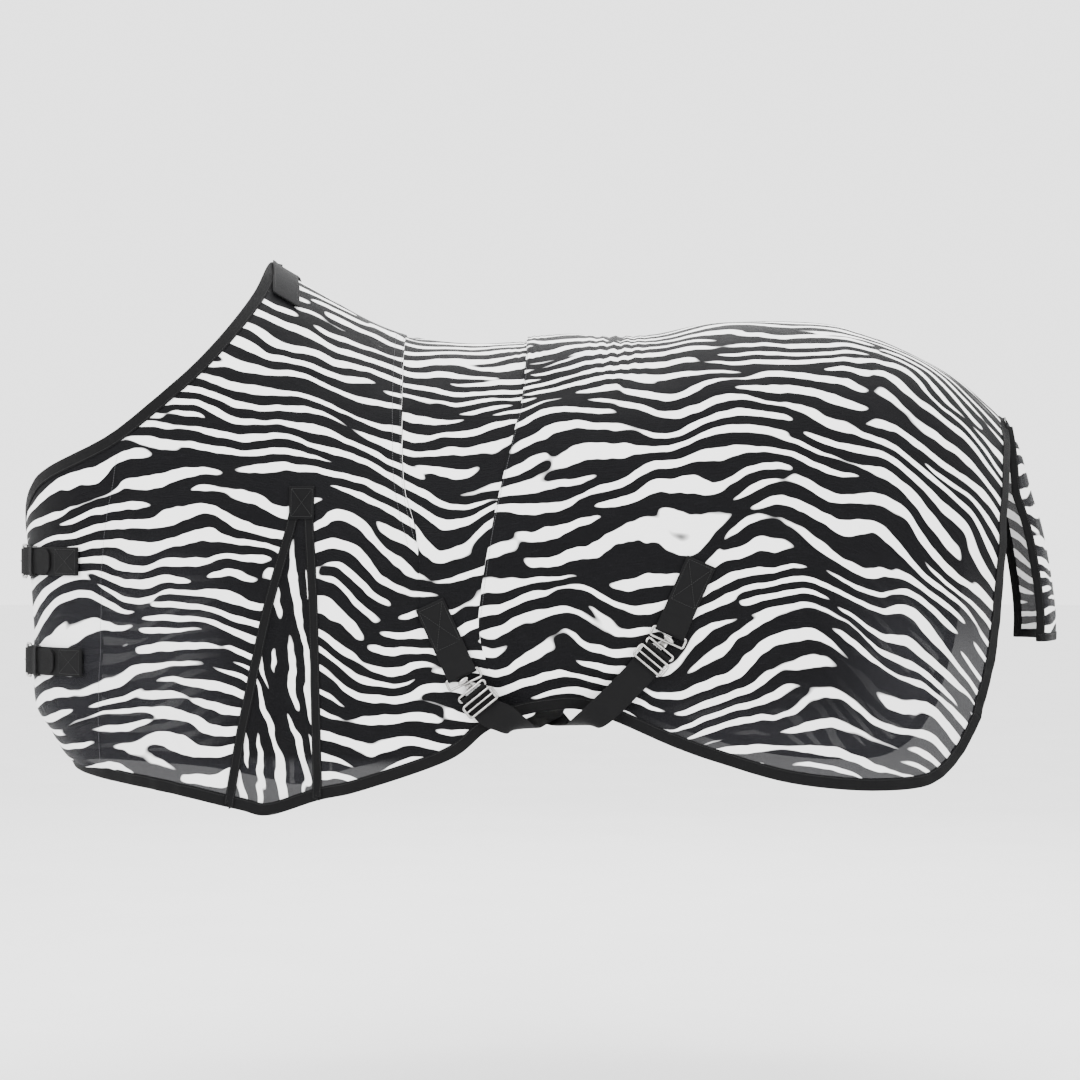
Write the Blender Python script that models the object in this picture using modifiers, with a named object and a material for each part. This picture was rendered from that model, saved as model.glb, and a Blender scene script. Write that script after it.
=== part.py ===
"""Fly sheet for a horse: a mesh rug shaped as if worn, with its bindings, chest buckles,
crossed belly straps and tail flap. Metres, +X to the tail, -Y the horse's left, +Z up.
The origin is on the horse's back, under the spine of the sheet."""
import math

import bmesh
import bpy
from mathutils import Matrix, Vector

# Driving dimensions
SHEET_LENGTH = 1.696  # chest opening to tail head
SHEET_DEPTH = 0.936  # top of the withers to the lowest point of the hem
HALF_WIDTH = 0.320  # middle to the widest part of the barrel
CLOTH = 0.0018  # fly mesh with its drape
SEAM_GAP = 0.0012  # between two panels that meet at a seam
CLEAR = 0.0006  # between pieces that lie on each other
BINDING_WIDTH = 0.019
BINDING_THICK = 0.0012
BINDING_ROOM = 0.0024  # between a binding's legs and the cloth, which isn't flat there
TAPE_WIDTH = 0.016  # webbing tape down each gusset seam
WEBBING_WIDTH = 0.050  # belly straps and their patches
WEBBING_THICK = 0.0024
CHEST_WEBBING = 0.048
WIRE_RADIUS = 0.0021  # steel wire of rings, slides and buckles
RING_WIDTH = 0.062  # outside, across the strap
RING_DEPTH = 0.020  # outside, along the strap
SLIDE_DEPTH = 0.026
PATCH_LENGTH = 0.122  # surcingle patch, sewn end to ring loop
FLAP_HALF_WIDTH = 0.105
FLAP_WRAP = 0.050  # how far the flap's sides come forward round the tail
CHEST_GAP = 0.020  # between the two front edges under the chest straps

# The pattern, drawn for a sheet of these sizes and graded to the sizes above
PATTERN_LENGTH = 1.696
PATTERN_DEPTH = 0.936
PATTERN_HALF_WIDTH = 0.320

# (x, z) along each edge, and (x, value) for the body under the sheet
NECK_EDGE = [(-0.892, -0.333), (-0.886, -0.296), (-0.866, -0.258), (-0.832, -0.231), (-0.713, -0.176),
             (-0.613, -0.099), (-0.541, -0.021), (-0.488, 0.064), (-0.469, 0.133)]
SPINE = [(-0.469, 0.133), (-0.430, 0.107), (-0.360, 0.066), (-0.300, 0.033), (-0.236, 0.006),
         (-0.168, -0.005), (-0.100, -0.009), (-0.025, -0.004), (0.050, 0.003), (0.120, 0.001),
         (0.200, 0.007), (0.290, 0.025), (0.400, 0.030), (0.483, 0.026), (0.536, 0.016), (0.612, -0.012),
         (0.709, -0.060), (0.773, -0.110), (0.803, -0.137)]
FRONT_EDGE = [(-0.892, -0.333), (-0.879, -0.491), (-0.880, -0.582), (-0.874, -0.640), (-0.850, -0.678),
              (-0.828, -0.714), (-0.806, -0.739)]
HEM = [(-0.806, -0.739), (-0.720, -0.754), (-0.608, -0.770), (-0.496, -0.794), (-0.446, -0.803),
       (-0.362, -0.777), (-0.294, -0.761), (-0.150, -0.710), (-0.090, -0.664), (-0.040, -0.640),
       (0.020, -0.628), (0.070, -0.628), (0.132, -0.650), (0.220, -0.688), (0.293, -0.714), (0.403, -0.745),
       (0.518, -0.759), (0.615, -0.756), (0.660, -0.740), (0.695, -0.710), (0.718, -0.675), (0.733, -0.646)]
REAR_EDGE = [(0.803, -0.137), (0.805, -0.170), (0.797, -0.220), (0.784, -0.300), (0.776, -0.402),
             (0.760, -0.530), (0.733, -0.646)]
CREST_AHEAD = [(-0.950, 0.640), (-0.700, 0.360), (-0.560, 0.210)]  # the neck's crest, ahead of the sheet
WIDTHS = [(-0.400, 0.275), (-0.250, 0.300), (0.000, 0.320), (0.200, 0.318), (0.400, 0.315)]
ROUND_DEPTHS = [(-0.950, 0.46), (-0.400, 0.44), (-0.150, 0.38), (0.100, 0.35), (0.450, 0.33), (0.803, 0.33)]
ROUND_POWERS = [(-0.950, 1.60), (-0.400, 1.65), (-0.150, 1.90), (0.100, 2.05), (0.803, 2.10)]
CHEST_BACK = -0.400  # the chest is round from its front edge back to here
CHEST_POWER = 2.25
RUMP_START = 0.400
RUMP_END = 0.870
RUMP_POWER = 2.20

SHOULDER_TUCK = [(-0.233, 0.005), (-0.230, -0.137), (-0.223, -0.262), (-0.200, -0.360), (-0.200, -0.540),
                 (-0.205, -0.731)]
BARREL_TUCK = [(-0.021, -0.003), (-0.030, -0.116), (-0.057, -0.232), (-0.080, -0.340), (-0.100, -0.480),
               (-0.085, -0.560), (-0.060, -0.6485)]
GUSSET_TOP = (-0.392, -0.270)
GUSSET_FRONT = [GUSSET_TOP, (-0.405, -0.330), (-0.448, -0.472), (-0.487, -0.647), (-0.512, -0.791)]
GUSSET_BACK = [GUSSET_TOP, (-0.384, -0.330), (-0.374, -0.460), (-0.369, -0.565), (-0.364, -0.7775)]
DART_LINE = [(-0.400, 0.089), (-0.395, -0.100), GUSSET_TOP]

BLACK = (0.012, 0.012, 0.013)
STRIPED = (0.32, 0.32, 0.33)
NICKEL = (0.66, 0.64, 0.60)

LENGTH_GRADE = SHEET_LENGTH / PATTERN_LENGTH
DEPTH_GRADE = SHEET_DEPTH / PATTERN_DEPTH
WIDTH_GRADE = HALF_WIDTH / PATTERN_HALF_WIDTH


# ---------------------------------------------------------------- curves and the body's surface
def curved(points, steps=12):
    """A smooth line through the points (Catmull-Rom), as many short pieces."""
    ends = [2 * Vector(points[0]) - Vector(points[1])] + [Vector(p) for p in points]
    ends.append(2 * Vector(points[-1]) - Vector(points[-2]))
    line = []
    for a, b, c, d in zip(ends, ends[1:], ends[2:], ends[3:]):
        for step in range(steps):
            t = step / steps
            line.append(0.5 * (2 * b + (c - a) * t + (2 * a - 5 * b + 4 * c - d) * t * t
                               + (3 * b - a - 3 * c + d) * t ** 3))
    line.append(Vector(points[-1]))
    return line


def reading(points):
    """A function that reads a smooth value at x from (x, value) points, flat or straight past the ends."""
    line = curved(points)

    def value(x):
        for low, high in zip(line, line[1:]):
            if x <= high.x:
                break
        share = (x - low.x) / (high.x - low.x)
        return low.y + (high.y - low.y) * share
    return value


spine_height = reading(CREST_AHEAD + SPINE)
side_width = reading(WIDTHS)
round_depth = reading(ROUND_DEPTHS)
round_power = reading(ROUND_POWERS)
front_line = reading([(-z, x) for x, z in FRONT_EDGE])


def rounded(share, power):
    """Height of a quarter of a superellipse, from 0 at share 0 to 1 at share 1."""
    share = min(max(share, 0.0), 1.0)
    return (1 - (1 - share) ** power) ** (1 / power)


def half_body(x, z):
    """Pattern half width of the body at (x, z)."""
    depth = (spine_height(x) - z) / round_depth(x)
    width = side_width(min(max(x, CHEST_BACK), RUMP_START))
    if x < CHEST_BACK:
        top, low = FRONT_EDGE[0], FRONT_EDGE[-1]
        front = front_line(min(-z, -low[1])) if z < top[1] else top[0]
        edge = CHEST_GAP / 2 / WIDTH_GRADE
        width = edge + (width - edge) * rounded((x - front) / (CHEST_BACK - front), CHEST_POWER)
    if x > RUMP_START:
        width *= rounded((RUMP_END - x) / (RUMP_END - RUMP_START), RUMP_POWER)
    return width * rounded(depth, round_power(x))


def on_body(x, z, least=0.0):
    """The left side's surface at pattern (x, z), in metres, at least this far from the middle."""
    y = max(half_body(x, z) * WIDTH_GRADE, least)
    return Vector((x * LENGTH_GRADE, -y, z * DEPTH_GRADE))


def spaced(points, count, least=0.0):
    """Pattern points along a smooth line, evenly spaced over the body's surface."""
    line = curved(points)
    places = [on_body(p.x, p.y, least) for p in line]
    reach = [0.0]
    for a, b in zip(places, places[1:]):
        reach.append(reach[-1] + (b - a).length)
    result = []
    for step in range(count + 1):
        goal = reach[-1] * step / count
        at = next(i for i in range(1, len(reach)) if reach[i] >= goal - 1e-9)
        share = (goal - reach[at - 1]) / (reach[at] - reach[at - 1])
        result.append(line[at - 1].lerp(line[at], share))
    return result


def shifted(points, along):
    return [(x + along, z) for x, z in points]


# ---------------------------------------------------------------- making solids
def fresh_scene():
    for thing in list(bpy.data.objects):
        bpy.data.objects.remove(thing, do_unlink=True)
    folders = []
    for name in ("fly_sheet", "cutters"):
        folder = bpy.data.collections.new(name)
        bpy.context.scene.collection.children.link(folder)
        folders.append(folder)
    return folders


def material(name, colour, roughness, metallic=0.0):
    made = bpy.data.materials.new(name)
    made.use_nodes = True
    shader = made.node_tree.nodes["Principled BSDF"]
    shader.inputs["Base Color"].default_value = (*colour, 1.0)
    shader.inputs["Roughness"].default_value = roughness
    shader.inputs["Metallic"].default_value = metallic
    return made


def add(name, mesh, finish, folder=None):
    thing = bpy.data.objects.new(name, mesh)
    colour, roughness, metallic = finish
    thing.data.materials.clear()
    thing.data.materials.append(material(name, colour, roughness, metallic))
    (folder or sheet_parts).objects.link(thing)
    return thing


CLOTH_FINISH = (STRIPED, 0.75, 0.0)
WEBBING_FINISH = (BLACK, 0.80, 0.0)
METAL_FINISH = (NICKEL, 0.25, 1.0)


def mesh_from(bm, name):
    bmesh.ops.recalc_face_normals(bm, faces=bm.faces)
    mesh = bpy.data.meshes.new(name)
    bm.to_mesh(mesh)
    bm.free()
    return mesh


def mirrored(thing, name):
    """The same piece on the horse's right side."""
    bm = bmesh.new()
    bm.from_mesh(thing.data)
    bmesh.ops.scale(bm, vec=(1, -1, 1), verts=bm.verts, space=thing.matrix_world)
    bmesh.ops.reverse_faces(bm, faces=bm.faces)
    mesh = bpy.data.meshes.new(name)
    bm.to_mesh(mesh)
    bm.free()
    twin = add(name, mesh, WEBBING_FINISH)
    twin.data.materials.clear()
    twin.data.materials.append(thing.data.materials[0])
    for old in thing.modifiers:
        new = twin.modifiers.new(old.name, old.type)
        new.thickness = old.thickness
        new.offset = old.offset
    return twin


def patch_rows(top, bottom, left, right):
    """Rows of pattern points between four edges, each given as evenly spaced points."""
    columns, rows = len(top) - 1, len(left) - 1
    grid = []
    for r in range(rows + 1):
        v = r / rows
        row = []
        for c in range(columns + 1):
            u = c / columns
            ruled = top[c].lerp(bottom[c], v) + left[r].lerp(right[r], u)
            corners = top[0].lerp(top[-1], u).lerp(bottom[0].lerp(bottom[-1], u), v)
            row.append(ruled - corners)
        grid.append(row)
    return grid


def shell(name, grids, finish, lift=0.0, thick=CLOTH, least=SEAM_GAP):
    """Grids of pattern points laid on the body, lifted off it and given a thickness inwards."""
    bm = bmesh.new()
    for grid in grids:
        made = [[bm.verts.new(on_body(p.x, p.y, least)) for p in row] for row in grid]
        for upper, lower in zip(made, made[1:]):
            for a, b, c, d in zip(upper, upper[1:], lower[1:], lower):
                bm.faces.new((a, d, c, b))
    bmesh.ops.remove_doubles(bm, verts=bm.verts, dist=0.00005)
    bm.normal_update()
    for vert in bm.verts:
        vert.co += vert.normal * lift
    mesh = bpy.data.meshes.new(name)
    bm.to_mesh(mesh)
    bm.free()
    thing = add(name, mesh, finish)
    solid = thing.modifiers.new("cloth_thickness", "SOLIDIFY")
    solid.thickness = thick
    solid.offset = -1
    return thing


def loft_mesh(name, sections):
    """A closed mesh through like sections, each a loop of points."""
    bm = bmesh.new()
    loops = [[bm.verts.new(p) for p in section] for section in sections]
    for first, second in zip(loops, loops[1:]):
        count = len(first)
        for i in range(count):
            j = (i + 1) % count
            bm.faces.new((first[i], first[j], second[j], second[i]))
    bm.faces.new(loops[0])
    bm.faces.new(loops[-1])
    return mesh_from(bm, name)


def edge_binding(name, edge, turn, wide=BINDING_WIDTH):
    """A tape folded round an edge, with the cloth between its legs.

    edge is a list of (place on the edge, the next place inside it). Its outer leg lies to the left
    of the way the edge runs, seen from inside the sheet, when turn is 1, or to the right when -1."""
    sections = []
    near, far = BINDING_ROOM, BINDING_ROOM + BINDING_THICK
    low, high = -CLOTH - near, -CLOTH - far
    for i, (place, inner) in enumerate(edge):
        before, after = edge[max(i - 1, 0)][0], edge[min(i + 1, len(edge) - 1)][0]
        ahead = (after - before).normalized()
        leg = inner - place
        leg = (leg - ahead * leg.dot(ahead)).normalized()
        out = ahead.cross(leg) * turn
        profile = [(wide, far), (-far, far), (-far, high), (wide, high),
                   (wide, low), (-near, low), (-near, near), (wide, near)]
        sections.append([place + leg * a + out * b for a, b in profile])
    return add(name, loft_mesh(name, sections), WEBBING_FINISH)


def trimmed(edge, start, end):
    """The same edge, cut short by a length at each end."""
    def cut(line, length):
        while (line[1][0] - line[0][0]).length < length:
            length -= (line[1][0] - line[0][0]).length
            line = line[1:]
        share = length / (line[1][0] - line[0][0]).length
        first = tuple(a.lerp(b, share) for a, b in zip(line[0], line[1]))
        return [first] + line[1:]
    return cut(cut(edge, start)[::-1], end)[::-1]


def ribbon_mesh(name, points, outs, width, thick):
    """Flat webbing along points, each with the direction its outer face looks."""
    sections = []
    for i, point in enumerate(points):
        ahead = (points[min(i + 1, len(points) - 1)] - points[max(i - 1, 0)]).normalized()
        out = (outs[i] - ahead * outs[i].dot(ahead)).normalized()
        side = ahead.cross(out) * width / 2
        rise = out * thick / 2
        sections.append([point - side - rise, point + side - rise, point + side + rise, point - side + rise])
    return loft_mesh(name, sections)


def ribbon(name, points, outs, width, thick, finish):
    return add(name, ribbon_mesh(name, points, outs, width, thick), finish)


def smooth_route(points, count):
    """Evenly spaced places and facings along a smooth route of (place, facing) pairs."""
    def through(index, t):
        ends = [p[index] for p in points]
        ends = [2 * ends[0] - ends[1]] + ends + [2 * ends[-1] - ends[-2]]
        at = min(int(t), len(points) - 2)
        a, b, c, d = ends[at:at + 4]
        t -= at
        return 0.5 * (2 * b + (c - a) * t + (2 * a - 5 * b + 4 * c - d) * t * t
                      + (3 * b - a - 3 * c + d) * t ** 3)
    times = [i * (len(points) - 1) / count for i in range(count + 1)]
    return [through(0, t) for t in times], [through(1, t).normalized() for t in times]


def wire(name, points, radius, closed, resolution=2):
    """A mesh of round wire along points, capped where it is open."""
    curve = bpy.data.curves.new(name, "CURVE")
    curve.dimensions = "3D"
    curve.bevel_depth = radius
    curve.bevel_resolution = resolution
    curve.use_fill_caps = not closed
    spline = curve.splines.new("POLY")
    spline.points.add(len(points) - 1)
    for knot, point in zip(spline.points, points):
        knot.co = (*point, 1.0)
    spline.use_cyclic_u = closed
    return curve_mesh(name, curve, Matrix.Identity(4))


def curve_mesh(name, curve, place):
    """A curve's solid as a welded mesh, moved to its place; the curve itself is removed."""
    holder = bpy.data.objects.new(name, curve)
    bpy.context.scene.collection.objects.link(holder)
    bpy.context.view_layer.update()
    mesh = bpy.data.meshes.new_from_object(holder.evaluated_get(bpy.context.evaluated_depsgraph_get()))
    bpy.data.objects.remove(holder, do_unlink=True)
    bpy.data.curves.remove(curve)
    bm = bmesh.new()
    bm.from_mesh(mesh)
    bpy.data.meshes.remove(mesh)
    bmesh.ops.remove_doubles(bm, verts=bm.verts, dist=0.00001)
    bmesh.ops.transform(bm, matrix=place, verts=bm.verts)
    return mesh_from(bm, name)


def loop_points(width, depth, corner, radius):
    """Points round a rectangle of wire, outside size width by depth, lying in the local XY plane."""
    half, tall = width / 2 - radius, depth / 2 - radius
    points = []
    for quarter, (sx, sy) in enumerate(((1, 1), (-1, 1), (-1, -1), (1, -1))):
        for step in range(4):
            angle = (quarter + step / 3) * math.pi / 2
            points.append(Vector((sx * (half - corner) + corner * math.cos(angle),
                                  sy * (tall - corner) + corner * math.sin(angle), 0)))
    return points


def join_solids(thing, others):
    """Boolean union of solids into the first one."""
    for other in others:
        cutters.objects.link(other)
        other.hide_render = True
        other.display_type = "WIRE"
        union = thing.modifiers.new("join_" + other.name, "BOOLEAN")
        union.operation = "UNION"
        union.object = other
        union.solver = "EXACT"


def loose(name, mesh, place):
    thing = bpy.data.objects.new(name, mesh)
    thing.matrix_world = place
    return thing


def cylinder(name, radius, length, sides=12):
    """A rod along local X, centred."""
    bm = bmesh.new()
    bmesh.ops.create_cone(bm, cap_ends=True, segments=sides, radius1=radius, radius2=radius, depth=length,
                          matrix=Matrix.Rotation(math.pi / 2, 4, "Y"))
    return mesh_from(bm, name)


def box_mesh(name, size, centre=(0, 0, 0)):
    bm = bmesh.new()
    bmesh.ops.create_cube(bm, size=1.0)
    bmesh.ops.scale(bm, vec=size, verts=bm.verts)
    bmesh.ops.translate(bm, vec=centre, verts=bm.verts)
    return mesh_from(bm, name)


def body_frame(x, z, slant, lift):
    """Where a flat piece lies on the left side: local X across, local Y up the strap, local Z outwards."""
    place = on_body(x, z)
    along = (on_body(x + 0.03, z) - on_body(x - 0.03, z)).normalized()
    upward = (on_body(x, z + 0.03) - on_body(x, z - 0.03)).normalized()
    out = along.cross(upward).normalized()
    up = Matrix.Rotation(slant, 3, out) @ upward
    up = (up - out * up.dot(out)).normalized()
    across = up.cross(out)
    frame = Matrix((across, up, out)).transposed().to_4x4()
    frame.translation = place + out * lift
    return frame


# ---------------------------------------------------------------- the cloth panels
ROWS_ABOVE, ROWS_BELOW = 6, 7  # of the front panel, above and below the gusset's top
NECK_COLUMNS, WITHER_COLUMNS, SHOULDER_COLUMNS, BARREL_COLUMNS, REAR_COLUMNS = 15, 2, 3, 4, 14
GUSSET_COLUMNS = 3
SIDE_ROWS = ROWS_ABOVE + ROWS_BELOW


def inside(points, low, high):
    """The points of a line that lie well between low and high in x."""
    return [p for p in points if low + 0.012 < p[0] < high - 0.012]


def chest_grid(slit):
    top = spaced(NECK_EDGE, NECK_COLUMNS)
    withers = [SPINE[0]] + inside(SPINE, SPINE[0][0], DART_LINE[0][0]) + [DART_LINE[0]]
    top += spaced(withers, WITHER_COLUMNS)[1:]
    end = GUSSET_FRONT[-1]
    hem = spaced([HEM[0]] + inside(HEM, HEM[0][0], end[0]) + [end], NECK_COLUMNS + WITHER_COLUMNS)
    return patch_rows(top, hem, spaced(FRONT_EDGE, SIDE_ROWS), slit + spaced(GUSSET_FRONT, ROWS_BELOW)[1:])


def panel_grid(left, right, columns, rows):
    """A grid between two lines of points that run from the spine to the hem."""
    first, last = left[0], right[0]
    top = spaced([tuple(first)] + inside(SPINE, first.x, last.x) + [tuple(last)], columns)
    first, last = left[-1], right[-1]
    hem = spaced([tuple(first)] + inside(HEM, first.x, last.x) + [tuple(last)], columns)
    return patch_rows(top, hem, left, right)


def gusset_grid():
    """The wedge let into the hem so that the shoulder can move."""
    gap = Vector((SEAM_GAP, 0))
    front = [p + gap for p in spaced(GUSSET_FRONT, ROWS_BELOW)][1:]
    back = [p - gap for p in spaced(GUSSET_BACK, ROWS_BELOW)][1:]
    top = [front[0].lerp(back[0], i / GUSSET_COLUMNS) for i in range(GUSSET_COLUMNS + 1)]
    hem = [tuple(front[-1])] + inside(HEM, front[-1].x, back[-1].x) + [tuple(back[-1])]
    return patch_rows(top, spaced(hem, GUSSET_COLUMNS), front, back)


def panels():
    """The four cloth panels of the left side, and the grids they were laid out on."""
    slit = spaced(DART_LINE, ROWS_ABOVE)
    chest = chest_grid(slit)
    shoulder = panel_grid(slit + spaced(GUSSET_BACK, ROWS_BELOW)[1:],
                          spaced(shifted(SHOULDER_TUCK, -SEAM_GAP), SIDE_ROWS), SHOULDER_COLUMNS, SIDE_ROWS)
    barrel = panel_grid(spaced(shifted(SHOULDER_TUCK, SEAM_GAP), SIDE_ROWS),
                        spaced(shifted(BARREL_TUCK, -SEAM_GAP), SIDE_ROWS), BARREL_COLUMNS, SIDE_ROWS)
    rear = panel_grid(spaced(shifted(BARREL_TUCK, SEAM_GAP), SIDE_ROWS), spaced(REAR_EDGE, SIDE_ROWS),
                      REAR_COLUMNS, SIDE_ROWS)
    gusset = gusset_grid()
    made = [shell("left_front_panel", [chest, shoulder], CLOTH_FINISH),
            shell("left_barrel_panel", [barrel], CLOTH_FINISH),
            shell("left_rear_panel", [rear], CLOTH_FINISH),
            shell("left_gusset", [gusset], CLOTH_FINISH)]
    return made, (chest, shoulder, gusset, barrel, rear)


FACING_BACK = [(-0.700, -0.210), (-0.730, -0.380), (-0.735, -0.560), (-0.738, -0.722)]
FACING_TOP = [(-0.838, -0.272), (-0.780, -0.238)]  # its upper edge, between its front and back edges
FACING_START = -0.300  # top of its front edge
FACING_INSET = 0.024  # behind the front edge and above the hem, clear of their bindings
FACING_DEPTH = 0.0075  # inside the outer cloth
FACING_THICK = 0.0012
FACING_ROWS, FACING_COLUMNS = 9, 5


def chest_facing():
    """A second layer of mesh inside the chest, which carries the buckles' stitching."""
    front = [(x + FACING_INSET, z) for x, z in FRONT_EDGE]
    front[0] = (front[0][0], FACING_START)
    front[-1] = (front[-1][0], front[-1][1] + FACING_INSET)
    top = spaced([front[0]] + FACING_TOP + [FACING_BACK[0]], FACING_COLUMNS)
    bottom = spaced([front[-1], FACING_BACK[-1]], FACING_COLUMNS)
    grid = patch_rows(top, bottom, spaced(front, FACING_ROWS), spaced(FACING_BACK, FACING_ROWS))
    return shell("left_chest_facing", [grid], CLOTH_FINISH, lift=-FACING_DEPTH, thick=FACING_THICK)


# ---------------------------------------------------------------- bindings and tapes
TAPE_LIFT = 0.0026  # of the gusset's tapes, over the cloth's outer face
TAPE_THICK = 0.0014
TAPE_SPREAD = 0.0075  # between each tape and its seam at the gusset's top, so that the tapes don't overlap
TAPE_ROWS = 14
GUSSET_PATCH_WIDTH = 0.040
GUSSET_PATCH_ABOVE, GUSSET_PATCH_BELOW = 0.004, 0.034  # its edges above and below the gusset's top
UNDER_WITHER_PATCH = 0.088  # of the neck edge's top, which the wither patch covers
REAR_BINDING_START = 0.012  # below the spine


def square_inward(edge):
    """Each place on the neck edge, with one on the body a binding's width in from it, square to the edge."""
    places = [on_body(p.x, p.y, SEAM_GAP) for p in edge]
    pairs = []
    for i, (p, place) in enumerate(zip(edge, places)):
        ahead = (places[min(i + 1, len(edge) - 1)] - places[max(i - 1, 0)]).normalized()
        small = 0.004
        back = (on_body(p.x + small, p.y - 0.7 * small) - on_body(p.x, p.y - 0.0001)) / small
        down = (on_body(p.x, p.y - small) - on_body(p.x, p.y - 0.0001)) / small
        step = back * down.dot(ahead) - down * back.dot(ahead)
        if step.x < 0:
            step = -step
        pairs.append((place, place + step.normalized() * BINDING_WIDTH))
    return pairs


def bindings(grids):
    """Tape folded round the neck, chest, hem and rear edges of the left side."""
    chest, shoulder, gusset, barrel, rear = grids
    corner = BINDING_WIDTH + BINDING_ROOM + BINDING_THICK + CLEAR

    def edge(pairs):
        return [(on_body(*a, SEAM_GAP), on_body(*b, SEAM_GAP)) for a, b in pairs]

    neck = square_inward(chest[0][:NECK_COLUMNS + 1])
    front = edge([(row[0], row[1]) for row in chest])
    hem = []
    for grid in (chest, gusset, shoulder, barrel, rear):
        hem += [pair for pair in edge(zip(grid[-1], grid[-2]))
                if not hem or (pair[0] - hem[-1][0]).length > 4 * SEAM_GAP]
    tail = edge([(row[-1], row[-2]) for row in rear])
    end = BINDING_WIDTH / 10
    return [edge_binding("left_neck_binding", trimmed(neck, end, UNDER_WITHER_PATCH), -1),
            edge_binding("left_front_binding", trimmed(front, corner, end), 1),
            edge_binding("left_hem_binding", trimmed(hem, corner, corner), 1),
            edge_binding("left_rear_binding", trimmed(tail, REAR_BINDING_START, end), -1)]


def gusset_tapes():
    """Webbing tape down both gusset seams, and the small patch that locks their tops."""
    made = []
    lift = CLOTH / 2 + TAPE_LIFT
    half = TAPE_WIDTH / 2
    for name, line, way in (("front", GUSSET_FRONT, -1), ("back", GUSSET_BACK, 1)):
        points = spaced(line, TAPE_ROWS)[1:]
        points[-1] = points[-1] + Vector((0, BINDING_WIDTH + TAPE_LIFT + TAPE_THICK))
        grid = []
        for i, p in enumerate(points):
            off = way * TAPE_SPREAD * (1 - i / (len(points) - 1)) ** 3
            grid.append([Vector((p.x + off + side * half, p.y)) for side in (-1, 0, 1)])
        made.append(shell("left_gusset_%s_tape" % name, [grid], WEBBING_FINISH, lift=lift, thick=TAPE_THICK))
    top, low = GUSSET_TOP[1] + GUSSET_PATCH_ABOVE, GUSSET_TOP[1] - GUSSET_PATCH_BELOW
    columns, rows = 4, 3
    grid = [[Vector((GUSSET_TOP[0] + GUSSET_PATCH_WIDTH * (c / columns - 0.5), top + (low - top) * r / rows))
             for c in range(columns + 1)] for r in range(rows + 1)]
    made.append(shell("left_gusset_patch", [grid], WEBBING_FINISH, lift=lift, thick=TAPE_THICK))
    return made


# ---------------------------------------------------------------- belly straps and their metal
FRONT_PATCH = (-0.1290, -0.5660)  # ring end of each near patch, on the pattern
REAR_PATCH = (0.2135, -0.4975)
FRONT_SLANT, FRONT_PULL = math.radians(25), math.radians(39)  # of the patch, and of its strap's pull
REAR_SLANT, REAR_PULL = math.radians(-24), math.radians(-40)
PATCH_LIFT = 0.0046
EYE_RADIUS = WIRE_RADIUS + 0.0004  # inside the webbing's fold round a bar
BAR_DROP = 0.0055  # patch's sewn end to the ring's top bar
BAR_LIFT = 0.0031  # ring's bars above the patch's inner face
FOLD_END = 0.016  # above it the patch lies flat
HOOK_REACH = 0.0205  # ring's lower bar to the bar that the strap is folded round
HOOK_LOOP = 0.0125
SLIDE_REACH = 0.0185  # that bar to the middle of the slide
HEAD_LIFT = 0.0076
HEAD_RADII = (0.0100, 0.0042, 0.0032)
NECK_DIP = 0.0048
NECK_WIDTH, NECK_THICK = 0.010, 0.0022
LOOP_CORNER = 0.003  # bend radius of the wire's corners
STRAP_EASE = 0.94  # strap's width as a share of its patch's
# Where each strap turns under the hem: x, y and z, and how far its face has turned down.
FRONT_UNDER = [(-0.060, -0.3265, -0.6410, 0.10), (-0.037, -0.3240, -0.6540, 0.80),
               (-0.022, -0.3030, -0.6590, 1.45)]
REAR_UNDER = [(0.128, -0.3280, -0.6030, 0.05), (0.098, -0.3305, -0.6310, 0.20),
              (0.077, -0.3250, -0.6460, 0.80), (0.062, -0.3030, -0.6535, 1.45)]
FRONT_LEVEL, REAR_LEVEL = -0.648, -0.657  # of each strap where they cross under the belly
UNDER_BELLY = [(-0.255, 0.26), (-0.170, 0.40), (0.0, 0.50), (0.170, 0.60), (0.255, 0.74)]  # y, share across


def hardware_frame(spot, slant):
    return body_frame(spot[0], spot[1], slant, PATCH_LIFT)


def hook_frame(spot, slant, pull):
    """At the middle of the ring's lower bar, turned to the way the strap pulls."""
    low = -BAR_DROP - RING_DEPTH + 2 * WIRE_RADIUS
    bar = hardware_frame(spot, slant) @ Matrix.Translation((0, low, BAR_LIFT))
    return bar @ Matrix.Rotation(pull - slant, 4, "Z")


def webbing_patch(name, spot, slant):
    """A strip of webbing sewn to the sheet, its lower end folded round the ring's bar."""
    out = EYE_RADIUS + WEBBING_THICK
    outline = [(PATCH_LENGTH, 0.0), (PATCH_LENGTH, WEBBING_THICK), (FOLD_END, WEBBING_THICK)]
    turns = [math.radians(55 + 250 * i / 9) for i in range(10)]
    outline += [(out * math.cos(t) - BAR_DROP, out * math.sin(t) + BAR_LIFT) for t in turns]
    hole = [(EYE_RADIUS * math.cos(t) - BAR_DROP, EYE_RADIUS * math.sin(t) + BAR_LIFT)
            for t in (math.tau * i / 10 for i in range(10))]
    curve = bpy.data.curves.new(name, "CURVE")
    curve.dimensions = "2D"
    curve.fill_mode = "BOTH"
    curve.extrude = WEBBING_WIDTH / 2
    for loop in (outline, hole):
        spline = curve.splines.new("POLY")
        spline.points.add(len(loop) - 1)
        for knot, (a, b) in zip(spline.points, loop):
            knot.co = (a, b, 0.0, 1.0)
        spline.use_cyclic_u = True
    lying = Matrix(((0, 0, 1, 0), (1, 0, 0, 0), (0, 1, 0, 0), (0, 0, 0, 1)))
    mesh = curve_mesh(name, curve, hardware_frame(spot, slant) @ lying)
    return add(name, mesh, WEBBING_FINISH)


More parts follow.
